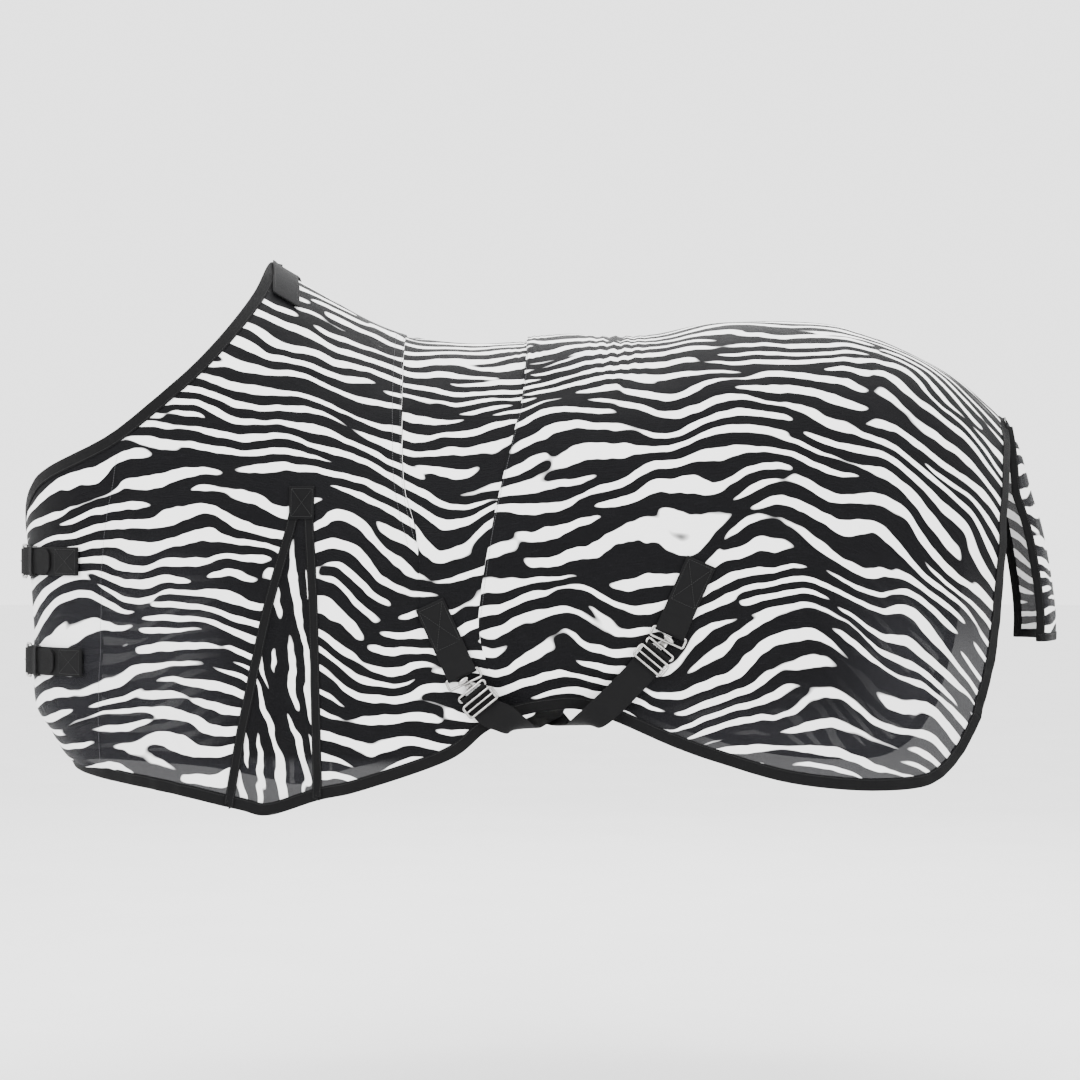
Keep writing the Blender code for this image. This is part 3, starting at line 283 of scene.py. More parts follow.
def between_edges(top, bottom, front, back):
    """Rows of pattern points between four edges (a Coons patch)."""
    u = np.linspace(0, 1, len(top))[None, :, None]
    v = np.linspace(0, 1, len(front))[:, None, None]
    ruled = top[None] * (1 - v) + bottom[None] * v + front[:, None] * (1 - u) + back[:, None] * u
    corners = (top[0] * (1 - u) + top[-1] * u) * (1 - v) + (bottom[0] * (1 - u) + bottom[-1] * u) * v
    return ruled - corners


def panel(front, back, columns):
    top = spaced(part_of(SPINE, front[0], back[0]), columns)
    bottom = spaced(part_of(HEM, front[-1], back[-1]), columns)
    return between_edges(top, bottom, front, back)


def arc_table():
    """Distances over the body from its crest, at even steps of x and of the root of the drop."""
    x = np.linspace(-0.93, 0.83, 177)[:, None]
    root = np.linspace(0.0, 1.0, 500)[None, :]
    places = on_body(x + 0 * root, spine_height(x) - 1.5 * root ** 2)
    steps = np.linalg.norm(np.diff(places, axis=1), axis=2)
    return np.concatenate([np.zeros((177, 1)), np.cumsum(steps, axis=1)], axis=1)


ARCS = arc_table()


def cut_place(x, z):
    """Where a point of the cloth was before it was draped: x along, and down from the spine."""
    across = np.clip((x + 0.93) / 1.76 * 176, 0, 175.999)
    down = np.clip(np.sqrt(np.maximum(spine_height(x) - z, 0) / 1.5) * 499, 0, 498.999)
    i, j = across.astype(int), down.astype(int)
    a, b = across - i, down - j
    arc = ((ARCS[i, j] * (1 - b) + ARCS[i, j + 1] * b) * (1 - a)
           + (ARCS[i + 1, j] * (1 - b) + ARCS[i + 1, j + 1] * b) * a)
    ahead = np.maximum(-0.400 - x, 0)
    return x, arc - (spine_height(x) - 0.089 - 0.05 * (1 - np.exp(-ahead / 0.12))) * (ahead > 0)


def hangs_clear(x, z):
    """How far the cloth hangs clear of the horse, 0 to 1: there light comes through it."""
    rear = ramp(-z, 0.56, 0.66) * ramp(x, 0.12, 0.30) * (0.55 + 0.45 * ramp(-z, 0.60, 0.72))
    haunch = ramp(x, 0.44, 0.62) * ramp(-z, 0.36, 0.56)
    chest = (1 - ramp(x, -0.62, -0.46)) * ramp(-z, 0.30, 0.52)
    hem = ramp(-z, 0.705, 0.725)
    return np.clip(np.maximum.reduce([rear, haunch, chest, hem * (x < 0)]), 0, 1)


def grid_quads(rows, columns, around=False):
    """Faces of a grid of points, closed round its columns if asked."""
    faces = []
    for r in range(rows - 1):
        for c in range(columns if around else columns - 1):
            d = (c + 1) % columns
            faces.append((r * columns + c, (r + 1) * columns + c, (r + 1) * columns + d, r * columns + d))
    return faces


def tube_quads(rows, columns):
    """Faces of a tube of points, with both its ends closed."""
    ends = [tuple(range(columns)), tuple(range((rows - 1) * columns, rows * columns))[::-1]]
    return grid_quads(rows, columns, around=True) + ends


def piece_from(name, places, faces, finish, cut=None, clear=None):
    """A new object from points and faces, with its place on the cut cloth or webbing as UVs."""
    mesh = bpy.data.meshes.new(name)
    mesh.from_pydata(np.asarray(places).reshape(-1, 3).tolist(), [], faces)
    mesh.update()
    mesh.polygons.foreach_set("use_smooth", [True] * len(mesh.polygons))
    if cut is not None:
        corner = np.zeros(len(mesh.loops), int)
        mesh.loops.foreach_get("vertex_index", corner)
        mesh.uv_layers.new(name="cut").data.foreach_set("uv", np.asarray(cut).reshape(-1, 2)[corner].ravel())
    if clear is not None:
        mesh.attributes.new("clear", "FLOAT", "POINT").data.foreach_set("value", np.asarray(clear).ravel())
    piece = bpy.data.objects.new(name, mesh)
    bpy.context.scene.collection.objects.link(piece)
    mesh.materials.append(finish)
    return piece


def thickened(piece, thick):
    """Gives a layer its thickness, inwards from its outer face."""
    body = piece.modifiers.new("thickness", "SOLIDIFY")
    body.thickness = thick
    body.offset = -1


def joins(piece, body, slot, *nodes):
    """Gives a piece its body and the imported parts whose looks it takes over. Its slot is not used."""
    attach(piece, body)
    if nodes:
        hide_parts(*nodes)


def cloth_piece(name, grids, side, finish, turns=None, drops=None, lift=0.0):
    """Draped cloth from grids of pattern points that meet along shared edges."""
    places, faces, cuts, clears, first = [], [], [], [], 0
    for n, grid in enumerate(grids):
        x, z = grid[..., 0], grid[..., 1]
        extra = drops[n] if drops is not None else 0.0
        places.append(laid(x, z, side, lift + extra).reshape(-1, 3))
        along, down = cut_place(x, z)
        shift = turns[n](z) if turns is not None else 0.0
        cuts.append(np.stack([along, down + shift], -1).reshape(-1, 2))
        clears.append(hangs_clear(x, z).ravel())
        quads = [tuple(i + first for i in q) for q in grid_quads(*x.shape)]
        faces += quads if side == LEFT else [q[::-1] for q in quads]
        first += x.size
    piece = piece_from(name, np.vstack(places), faces, finish, np.vstack(cuts), np.concatenate(clears))
    if len(grids) > 1:
        weld = piece.modifiers.new("joined", "WELD")
        weld.merge_threshold = 0.0001
    thickened(piece, CLOTH)
    return piece


class Nodes:
    """A material's nodes, made and linked in one call each."""

    def __init__(self, name):
        self.material = bpy.data.materials.new(name)
        self.material.use_nodes = True
        self.tree = self.material.node_tree
        self.shader = self.tree.nodes["Principled BSDF"]

    def add(self, kind, links=(), values=(), output=0, **settings):
        node = self.tree.nodes.new("ShaderNode" + kind)
        for key, value in settings.items():
            setattr(node, key, value)
        for key, value in dict(values).items():
            node.inputs[key].default_value = value
        for key, socket in dict(links).items():
            self.tree.links.new(socket, node.inputs[key])
        return node.outputs[output]

    def math(self, operation, first, second=None, third=None):
        node = self.tree.nodes.new("ShaderNodeMath")
        node.operation = operation
        for slot, value in zip(node.inputs, (first, second, third)):
            if isinstance(value, (int, float)):
                slot.default_value = value
            elif value is not None:
                self.tree.links.new(value, slot)
        return node.outputs[0]

    def spread(self, value, low, high, to_low=0.0, to_high=1.0):
        return self.add("MapRange", {"Value": value}, {"From Min": low, "From Max": high,
                                                        "To Min": to_low, "To Max": to_high})

    def blend(self, share, first, second):
        node = self.tree.nodes.new("ShaderNodeMix")
        node.data_type = "RGBA"
        self.tree.links.new(share, node.inputs["Factor"])
        for slot, value in ((node.inputs[6], first), (node.inputs[7], second)):
            if isinstance(value, tuple):
                slot.default_value = (*value, 1.0)
            else:
                self.tree.links.new(value, slot)
        return node.outputs[2]

    def noise(self, vector, scale, detail=2.0):
        return self.add("TexNoise", {"Vector": vector}, {"Scale": scale, "Detail": detail})

    def finish(self, name, value):
        self.tree.links.new(value, self.shader.inputs[name])

    def relief(self, height, depth, strength=1.0):
        self.finish("Normal", self.add("Bump", {"Height": height}, {"Distance": depth, "Strength": strength}))


WHITE_YARN, BLACK_YARN = (0.91, 0.91, 0.90), (0.0018, 0.0018, 0.0022)
LIT_INK = (0.011, 0.011, 0.013)  # black print with light coming through the mesh
STRIPES_LONG, STRIPES_SCALE, STRIPES_IN_KERNEL = 0.52, 16.6, 1.88
GUSSET_FINER = 1.35  # how much closer the gussets' upright stripes are
PRINT_EDGE = (0.611, 0.627)  # where black turns to white
WEAVE = 0.0013  # pitch of the mesh's holes


def zebra_mesh(name, start, upright=False):
    """Open polyester mesh, printed with forking stripes that run along it, or up it."""
    n = Nodes(name)
    cut = n.add("UVMap", uv_map="cut")
    cut = n.add("VectorMath", {0: cut}, {1: (*start, 0)}, operation="ADD")
    sway = (0.13, 0.10, 0) if upright else (0.10, 0.145, 0)
    moved = cut
    for scale, detail, most in ((2.7, 1.0, sway), (8.5, 0.5, (0.024, 0.046, 0)),
                                (27.0, 1.0, (0.010, 0.0075, 0))):
        waver = n.add("TexNoise", {"Vector": cut}, {"Scale": scale, "Detail": detail}, output="Color",
                      noise_dimensions="2D")
        waver = n.add("VectorMath", {0: waver}, {1: (0.5, 0.5, 0.5)}, operation="SUBTRACT")
        moved = n.add("VectorMath", {0: waver, 2: moved}, {1: most}, operation="MULTIPLY_ADD")
    stretch = (1, STRIPES_LONG, 1) if upright else (STRIPES_LONG, 1, 1)
    moved = n.add("VectorMath", {0: moved}, {1: stretch}, operation="MULTIPLY")
    scale = STRIPES_SCALE * (GUSSET_FINER if upright else 1.0)
    stripes = n.add("TexGabor", {"Vector": moved}, {"Scale": scale, "Frequency": STRIPES_IN_KERNEL,
                    "Anisotropy": 0.935, "Orientation": 0.0 if upright else math.pi / 2}, gabor_type="2D")
    swell = n.add("TexNoise", {"Vector": cut}, {"Scale": 7.0, "Detail": 1.0}, noise_dimensions="2D")
    stripes = n.math("MULTIPLY_ADD", swell, 0.15, stripes)
    white = n.spread(stripes, *PRINT_EDGE)
    along = n.add("SeparateXYZ", {"Vector": cut})
    down = n.add("SeparateXYZ", {"Vector": cut}, output="Y")
    warp = n.math("SINE", n.math("MULTIPLY", along, math.tau / WEAVE))
    weft = n.math("SINE", n.math("MULTIPLY", down, math.tau / WEAVE))
    weave = n.math("MULTIPLY_ADD", warp, 0.5, n.math("MULTIPLY", weft, 0.5))
    slub = n.noise(n.add("VectorMath", {0: cut}, {1: (40, 900, 1)}, operation="MULTIPLY"), 1.0)
    cloud = n.noise(cut, 14.0, 3.0)
    soil = n.spread(cloud, 0.35, 0.65, 0.90, 1.0)
    paper = n.blend(soil, (0.76, 0.76, 0.77), WHITE_YARN)
    paper = n.blend(n.spread(slub, 0.3, 0.7, 0.0, 0.35), paper, (0.82, 0.82, 0.83))
    ink = n.blend(n.spread(slub, 0.3, 0.8), BLACK_YARN, (0.0042, 0.0042, 0.0050))
    clear = n.add("Attribute", output="Fac", attribute_name="clear")
    ink = n.blend(n.math("MULTIPLY", clear, 0.9), ink, LIT_INK)
    n.finish("Base Color", n.blend(white, ink, paper))
    fuzz = n.math("ADD", n.math("MULTIPLY", white, 0.12), slub)
    n.finish("Roughness", n.spread(fuzz, 0.2, 0.9, 0.42, 0.68))
    hole = n.math("MULTIPLY_ADD", clear, 0.20, 0.022)
    hole = n.math("MULTIPLY", hole, n.spread(white, 0.0, 1.0, 1.0, 0.45))
    n.finish("Alpha", n.math("SUBTRACT", 1.0, hole))
    crumple = n.math("ADD", n.noise(cut, 55.0, 3.0), n.math("MULTIPLY", slub, 0.3))
    n.relief(n.math("ADD", n.math("MULTIPLY", weave, 0.16), crumple), 0.0009, 0.55)
    n.shader.inputs["Sheen Weight"].default_value = 0.012
    n.shader.inputs["Sheen Roughness"].default_value = 0.45
    n.shader.inputs["Specular IOR Level"].default_value = 0.05
    return n.material


SIDE_LINES = {"dart": spaced(DART_LINE, ROWS_ABOVE)}
SIDE_ROWS = ROWS_ABOVE + ROWS_BELOW
NECK_COLUMNS, WITHER_COLUMNS = 98, 14
SEAM_STEP = 0.0004  # half the width of the step that a tuck's lap makes


def chest_panel():
    top = np.vstack([spaced(NECK_EDGE, NECK_COLUMNS),
                     spaced(part_of(SPINE, SPINE[0], DART_LINE[0]), WITHER_COLUMNS)[1:]])
    bottom = spaced(part_of(HEM, HEM[0], GUSSET_FRONT[-1]), NECK_COLUMNS + WITHER_COLUMNS)
    back = np.vstack([SIDE_LINES["dart"], spaced(GUSSET_FRONT, ROWS_BELOW)[1:]])
    return between_edges(top, bottom, spaced(FRONT_EDGE, SIDE_ROWS), back)


def body_panels():
    """Shoulder, barrel and quarter, side by side with a narrow step at each tuck."""
    dart = np.vstack([SIDE_LINES["dart"], spaced(GUSSET_BACK, ROWS_BELOW)[1:]])
    shoulder = panel(dart, spaced(shifted(SHOULDER_TUCK, -SEAM_STEP), SIDE_ROWS), 30)
    barrel = panel(spaced(shifted(SHOULDER_TUCK, SEAM_STEP), SIDE_ROWS),
                   spaced(shifted(BARREL_TUCK, -SEAM_STEP), SIDE_ROWS), 34)
    quarter = panel(spaced(shifted(BARREL_TUCK, SEAM_STEP), SIDE_ROWS), spaced(REAR_EDGE, SIDE_ROWS), 146)
    return shoulder, barrel, quarter


def joined_cut(z, columns):
    """The print's jump at each tuck, where a strip of cloth is folded away."""
    shift = np.zeros(z.shape)
    shift[:, columns[0]:] += 0.031 * (1 - ramp(-z[:, columns[0]:], 0.30, 0.42))
    shift[:, columns[1]:] += 0.017 * (1 - ramp(-z[:, columns[1]:], 0.46, 0.58))
    return shift


chest = chest_panel()
parts = body_panels()
steps = (parts[0].shape[1], parts[0].shape[1] + parts[1].shape[1])
flank = np.hstack(parts)
zebra = zebra_mesh("zebra_fly_mesh", (3.7, 1.9))
zebra_right = zebra_mesh("zebra_fly_mesh_right", (9.1, 4.3))
for side, word, finish in ((LEFT, "left", zebra), (RIGHT, "right", zebra_right)):
    cloth = cloth_piece(word + "_side_cloth", [chest, flank], side, finish,
                        turns=[lambda z: 0 * z, lambda z: joined_cut(z, steps)])
    joins(cloth, "sheet", "cloth", word + "_front_panel", word + "_barrel_panel", word + "_rear_panel")

# ------------------------------------------------------------------ gusset cloth
# A wedge of the same mesh, its stripes upright, let into the slit behind each shoulder so
# that the foreleg can swing. It is sewn to both sides of the slit and sags between them.
GUSSET_COLUMNS = 40
GUSSET_SAG = 0.0085


def gusset_grid():
    front, back = spaced(GUSSET_FRONT, ROWS_BELOW), spaced(GUSSET_BACK, ROWS_BELOW)
    top = np.repeat(front[:1], GUSSET_COLUMNS + 1, axis=0)
    bottom = spaced(part_of(HEM, front[-1], back[-1]), GUSSET_COLUMNS)
    return between_edges(top, bottom, front, back)[3:]


def gusset_sag(grid):
    rows, columns = grid.shape[:2]
    across = np.linspace(0, 1, columns)[None, :]
    down = np.linspace(0, 1, rows)[:, None]
    valley = np.sin(math.pi * across) ** 1.5 * ramp(down, 0.05, 0.55) * (1 - 0.8 * ramp(down, 0.86, 1.0))
    return -0.0012 - GUSSET_SAG * valley + 0.0014 * np.sin(across * 19 + down * 3) * ramp(down, 0.1, 0.5)


gusset = gusset_grid()
upright_zebra = zebra_mesh("zebra_upright_mesh", (5.2, 7.7), upright=True)
for side, word in ((LEFT, "left"), (RIGHT, "right")):
    wedge = cloth_piece(word + "_gusset_cloth", [gusset], side, upright_zebra, drops=[gusset_sag(gusset)])
    joins(wedge, "sheet", "cloth", word + "_gusset")

# ------------------------------------------------------------------ chest facings
# A second layer of mesh inside each side of the chest opening, which takes the strain of
# the buckles. Its back edge is sewn through to the outer cloth with a row of stitches.
FACING_BACK = [(-0.700, -0.210), (-0.730, -0.380), (-0.735, -0.560), (-0.738, -0.722)]
FACING_INSET = 0.024
FACING_LIFT = -0.0036


def facing_grid():
    front = [(x + FACING_INSET, z) for x, z in FRONT_EDGE]
    front[0] = (front[0][0], -0.300)
    front[-1] = (front[-1][0], front[-1][1] + FACING_INSET)
    top = spaced([front[0], (-0.838, -0.272), (-0.780, -0.238), FACING_BACK[0]], 28)
    bottom = spaced([front[-1], FACING_BACK[-1]], 28)
    return between_edges(top, bottom, spaced(front, 72), spaced(FACING_BACK, 72))


facings = facing_grid()
for side, word in ((LEFT, "left"), (RIGHT, "right")):
    inner = cloth_piece(word + "_chest_facing_cloth", [facings], side, zebra_right, lift=FACING_LIFT)
    joins(inner, "sheet", "cloth", word + "_chest_facing")

# ------------------------------------------------------------------ edge tapes
# Black ribbed polyester tape, folded over the neck, chest, hem and rear edges of each side
# and sewn through near the tape's inner edge with one row of lock stitches.
TAPE_WIDE = 0.0190
TAPE_THICK = 0.0010
HIDE = 0.0004  # between a tape and the cloth inside it
SEAM_INSET = 0.0028  # of the stitches, from the tape's inner edge
BLACK_WEBBING = (0.0016, 0.0016, 0.0018)


def woven(name, rib, across_ribs, slant, shine=0.08):
    """Black polyester webbing: ribs or twill lines in relief, with painted shade in the grooves between them,
    dusty where it is handled.
    """
    n = Nodes(name)
    cut = n.add("UVMap", uv_map="cut")
    across = n.add("SeparateXYZ", {"Vector": cut})
    along = n.add("SeparateXYZ", {"Vector": cut}, output="Y")
    line = n.math("MULTIPLY_ADD", across, slant, along)
    ribs = n.math("SINE", n.math("MULTIPLY", line, math.tau / rib))
    threads = n.math("SINE", n.math("MULTIPLY", across, math.tau / across_ribs))
    place = n.add("TexCoord", output="Object")
    dust = n.noise(place, 26.0, 4.0)
    fluff = n.noise(place, 900.0, 2.0)
    grey = n.math("MULTIPLY", n.spread(dust, 0.42, 0.74, 0.0, 0.8), n.spread(fluff, 0.35, 0.75))
    # painted shade and highlight: the colour is darker in the grooves between the ribs and lighter on their
    # crests, with random grey dust added
    rib_shade_and_dust = n.math("ADD", n.spread(ribs, -1.0, 1.0, 0.0, 0.35), grey)
    n.finish("Base Color", n.blend(n.math("MINIMUM", rib_shade_and_dust, 1.0), BLACK_WEBBING, (0.0065, 0.0065, 0.0070)))
    n.finish("Roughness", n.spread(n.math("ADD", dust, n.math("MULTIPLY", fluff, 0.4)), 0.3, 1.0, 0.52, 0.78))
    height = n.math("ADD", ribs, n.math("MULTIPLY", threads, 0.4))
    n.relief(n.math("ADD", height, n.math("MULTIPLY", fluff, 0.5)), 0.00022, 0.7)
    n.shader.inputs["Specular IOR Level"].default_value = shine
    n.shader.inputs["Sheen Weight"].default_value = 0.015
    return n.material


def yarn(name, colour):
    """Twisted sewing thread."""
    n = Nodes(name)
    place = n.add("TexCoord", output="Object")
    twist = n.noise(place, 1400.0, 1.0)
    n.finish("Base Color", n.blend(twist, colour, tuple(2.2 * c for c in colour)))
    n.finish("Roughness", n.spread(twist, 0.3, 0.7, 0.45, 0.65))
    n.relief(twist, 0.0001, 0.5)
    return n.material


def sweep(name, places, outs, profile, finish, closed=False, shares=None):
    """A solid swept along places, each with the way its outer face looks. profile is a loop of
    (across, out) points, widened or narrowed by shares where they are given."""
    places, outs = np.asarray(places, float), np.asarray(outs, float)
    if closed:
        ahead = unit(np.roll(places, -1, axis=0) - np.roll(places, 1, axis=0))
    else:
        ahead = unit(np.gradient(places, axis=0))
    outs = unit(outs - ahead * np.sum(outs * ahead, axis=1, keepdims=True))
    sides = np.cross(ahead, outs)
    profile = np.asarray(profile, float)
    wide = np.ones(len(places)) if shares is None else np.asarray(shares)
    loops = (places[:, None] + sides[:, None] * (profile[None, :, :1] * wide[:, None, None])
             + outs[:, None] * profile[None, :, 1:])
    rows, columns = loops.shape[:2]
    if closed:
        faces = [tuple(i % (rows * columns) for i in q) for q in grid_quads(rows + 1, columns, around=True)]
    else:
        faces = tube_quads(rows, columns)
    run = reach_along(places)
    cut = np.stack([np.broadcast_to(profile[None, :, 0], (rows, columns)),
                    np.broadcast_to(run[:, None], (rows, columns))], -1)
    made = piece_from(name, loops, faces, finish, cut)
    made.data.flip_normals()
    return made


STITCH_PITCH, STITCH_LENGTH, STITCH_HALF = 0.0042, 0.0030, 0.00032


def sew(name, rows_of_stitches, body, finish):
    """Rows of lock stitches, each row a (places, outs) pair, as small raised loops of thread."""
    rings = ((-0.5, 0.35, -0.3), (-0.28, 1.0, 0.5), (0.28, 1.0, 0.5), (0.5, 0.35, -0.3))
    corners = ((1, 0), (0, 1), (-1, 0), (0, -1))
    points, faces = [], []
    for places, outs in rows_of_stitches:
        places, outs = np.asarray(places, float), np.asarray(outs, float)
        run = reach_along(places)
        goals = np.arange(STITCH_PITCH / 2, run[-1], STITCH_PITCH)
        at = np.stack([np.interp(goals, run, places[:, i]) for i in range(3)], -1)
        out = unit(np.stack([np.interp(goals, run, outs[:, i]) for i in range(3)], -1))
        past = np.stack([np.interp(goals + 0.001, run, places[:, i]) for i in range(3)], -1)
        before = np.stack([np.interp(goals - 0.001, run, places[:, i]) for i in range(3)], -1)
        ahead = unit(past - before)
        side = np.cross(ahead, out)
        for k in range(len(goals)):
            first = len(points)
            for along, fat, rise in rings:
                middle = at[k] + ahead[k] * along * STITCH_LENGTH + out[k] * rise * STITCH_HALF
                points += [middle + (side[k] * a + out[k] * b) * STITCH_HALF * fat for a, b in corners]
            faces += [tuple(i + first for i in q) for q in grid_quads(4, 4, around=True)]
            faces += [tuple(first + i for i in (3, 2, 1, 0)), tuple(first + i for i in (12, 13, 14, 15))]
    made = piece_from(name, points, faces, finish)
    joins(made, body, "webbing")
    return made


def fold_profile(wide):
    """The section of a tape folded over an edge: (inwards from the edge, outwards from the cloth)."""
    near, far = HIDE, HIDE + TAPE_THICK
    outer = [(wide, far - 0.0003), (wide - 0.0006, far), (wide * 0.75, far + 0.00015), (wide * 0.4, far),
             (0.0015, far), (-0.0006, far - 0.0002)]
    nose = [(-0.0006 - math.sin(a) * 0.0011, -CLOTH / 2 + math.cos(a) * (far + CLOTH / 2 - 0.0003))
            for a in (0.9, math.pi / 2, math.pi - 0.9)]
    back = [(-0.0006, -CLOTH - far + 0.0002), (0.0015, -CLOTH - far), (wide * 0.4, -CLOTH - far),
            (wide - 0.0006, -CLOTH - far), (wide, -CLOTH - far + 0.0003)]
    inside = [(wide, -CLOTH - near), (0.0002, -CLOTH - near), (0.0002, near), (wide, near)]
    return outer + nose + back + inside


def edge_frame(line, side, turn):
    """Places along a cloth edge, the way into the cloth and the way outwards there."""
    ahead = np.gradient(line, axis=0)
    inward = unit(np.stack([-ahead[:, 1], ahead[:, 0]], -1)) * turn
    places = laid(line[:, 0], line[:, 1], side)
    inner = laid(line[:, 0] + inward[:, 0] * 0.006, line[:, 1] + inward[:, 1] * 0.006, side)
    run = unit(np.gradient(places, axis=0))
    leg = inner - places
    leg = unit(leg - run * np.sum(leg * run, axis=1, keepdims=True))
    out = np.cross(run, leg)
    out *= np.sign(np.sum(out * looks(line[:, 0], line[:, 1], side), axis=1, keepdims=True))
    return places, leg, out


def edge_tape(name, line, side, turn, raised):
    """A tape folded over one edge of the cloth, and its row of stitches."""
    places, leg, out = edge_frame(line, side, turn)
    profile = np.array(fold_profile(TAPE_WIDE))
    loops = places[:, None] + profile[None, :, :1] * leg[:, None] + profile[None, :, 1:] * out[:, None]
    loops += np.sign(profile[:, 1] + CLOTH / 2)[None, :, None] * out[:, None] * raised
    run = reach_along(places)
    cut = np.stack(np.broadcast_arrays(profile[None, :, 0], run[:, None]), -1)
    tape = piece_from(name, loops, tube_quads(*loops.shape[:2]), ribbed_tape, cut)
    seam = places + leg * (TAPE_WIDE - SEAM_INSET) + out * (HIDE + TAPE_THICK + raised + 0.0001)
    return tape, (seam, out)


ribbed_tape = woven("ribbed_binding_tape", 0.0012, 0.0006, 0.0)
black_thread = yarn("black_thread", (0.0016, 0.0016, 0.0018))
grey_thread = yarn("grey_thread", (0.045, 0.045, 0.048))
EDGES = (("neck", NECK_EDGE, -1, 150, 0.0004), ("front", FRONT_EDGE, 1, 80, 0.0),
         ("hem", HEM, 1, 330, 0.0002), ("rear", REAR_EDGE, -1, 96, 0.0))
# Rows of stitches beside the tucks: the tuck, how far the row lies behind it, and the row's lift.
TUCK_ROWS = ((SHOULDER_TUCK[:4], -0.0030, 0.0002), (SHOULDER_TUCK[:4], -0.0160, 0.0002),
             (BARREL_TUCK[:5], 0.0030, 0.0002))
for side, word in ((LEFT, "left"), (RIGHT, "right")):
    tapes, seams = [], []
    for edge, line, turn, count, raised in EDGES:
        tape, seam = edge_tape("%s_%s_tape" % (word, edge), spaced(line, count), side, turn, raised)
        joins(tape, "sheet", "webbing", "%s_%s_binding" % (word, edge))
        tapes.append(tape)
        seams.append(seam)
    stitching = sew(word + "_edge_stitching", seams, "sheet", black_thread)
    facing_line = spaced(FACING_BACK, 120)
    outwards = looks(facing_line[:, 0], facing_line[:, 1], side)
    rows_sewn = [(laid(facing_line[:, 0] - 0.002, facing_line[:, 1], side, 0.0001), outwards)]
    for tuck, offset, lift in TUCK_ROWS:
        line = spaced(tuck, 90)[2:]
        outwards = looks(line[:, 0], line[:, 1], side)
        rows_sewn.append((laid(line[:, 0] + offset, line[:, 1], side, lift), outwards))
    grey = sew(word + "_seam_stitching", rows_sewn, "sheet", grey_thread)

# ------------------------------------------------------------------ gusset tapes and patch
# Flat black webbing tape covers both seams of each gusset, from a small stitched patch at
# the top, which stops the slit tearing, down to the hem.
GUSSET_TAPE = 0.0160
FLAT_THICK = 0.0012
TAPES_PART = 0.0072  # of each tape from its seam at the gusset's top, where they run side by side
GUSSET_SEAM_INSET = 0.0022
TOP_HALF, TOP_ABOVE, TOP_BELOW = 0.021, 0.006, 0.048  # of the top patch, from the gusset's point


def flat_profile(wide, thick):
    """Section of flat webbing with round selvedges, centred."""
    half, tall = wide / 2, thick / 2
    top = [(half * share, tall) for share in (-0.92, -0.6, -0.2, 0.2, 0.6, 0.92)]
    return ([(-half, 0.0), (-half + 0.0002, tall * 0.8)] + top + [(half - 0.0002, tall * 0.8), (half, 0.0),
            (half - 0.0002, -tall * 0.8)] + [(a, -b) for a, b in top[::-1]] + [(-half + 0.0002, -tall * 0.8)])


def softened(piece, width, segments):
    """Rounds a layer's edges."""
    edge = piece.modifiers.new("edges", "BEVEL")
    edge.width = width
    edge.segments = segments
    edge.limit_method = "ANGLE"
    edge.angle_limit = math.radians(50)


def flat_patch(name, corners, rows, columns, side, lift, thick, finish):
    """Webbing laid flat on the cloth between four pattern corners, its edges rounded."""
    a, b, c, d = (np.array(p) for p in corners)
    u, v = np.meshgrid(np.linspace(0, 1, columns), np.linspace(0, 1, rows))
    grid = (a[None, None] * ((1 - u) * (1 - v))[..., None] + b * (u * (1 - v))[..., None]
            + c * (u * v)[..., None] + d * ((1 - u) * v)[..., None])
    top = laid(grid[..., 0], grid[..., 1], side, lift + thick)
    wide, tall = np.linalg.norm(top[0, -1] - top[0, 0]), np.linalg.norm(top[-1, 0] - top[0, 0])
    cut = np.stack([(u - 0.5) * wide, v * tall], -1)
    faces = grid_quads(rows, columns)
    if side == RIGHT:
        faces = [q[::-1] for q in faces]
    patch = piece_from(name, top, faces, finish, cut)
    thickened(patch, thick)
    softened(patch, thick * 0.35, 2)
    return patch


def rectangle_seam(corners, side, inset, lift, crossed=False):
    """Rows of stitches round a patch, and across it corner to corner where that is how it is sewn."""
    a, b, c, d = (np.array(p, float) for p in corners)
    middle = (a + b + c + d) / 4
    a, b, c, d = (p + (middle - p) * inset for p in (a, b, c, d))
    runs = [(a, b), (b, c), (c, d), (d, a)] + ([(a, c), (b, d)] if crossed else [])
    rows = []
    for start, end in runs:
        line = start + (end - start) * np.linspace(0, 1, 24)[:, None]
        rows.append((laid(line[:, 0], line[:, 1], side, lift), looks(line[:, 0], line[:, 1], side)))
    return rows


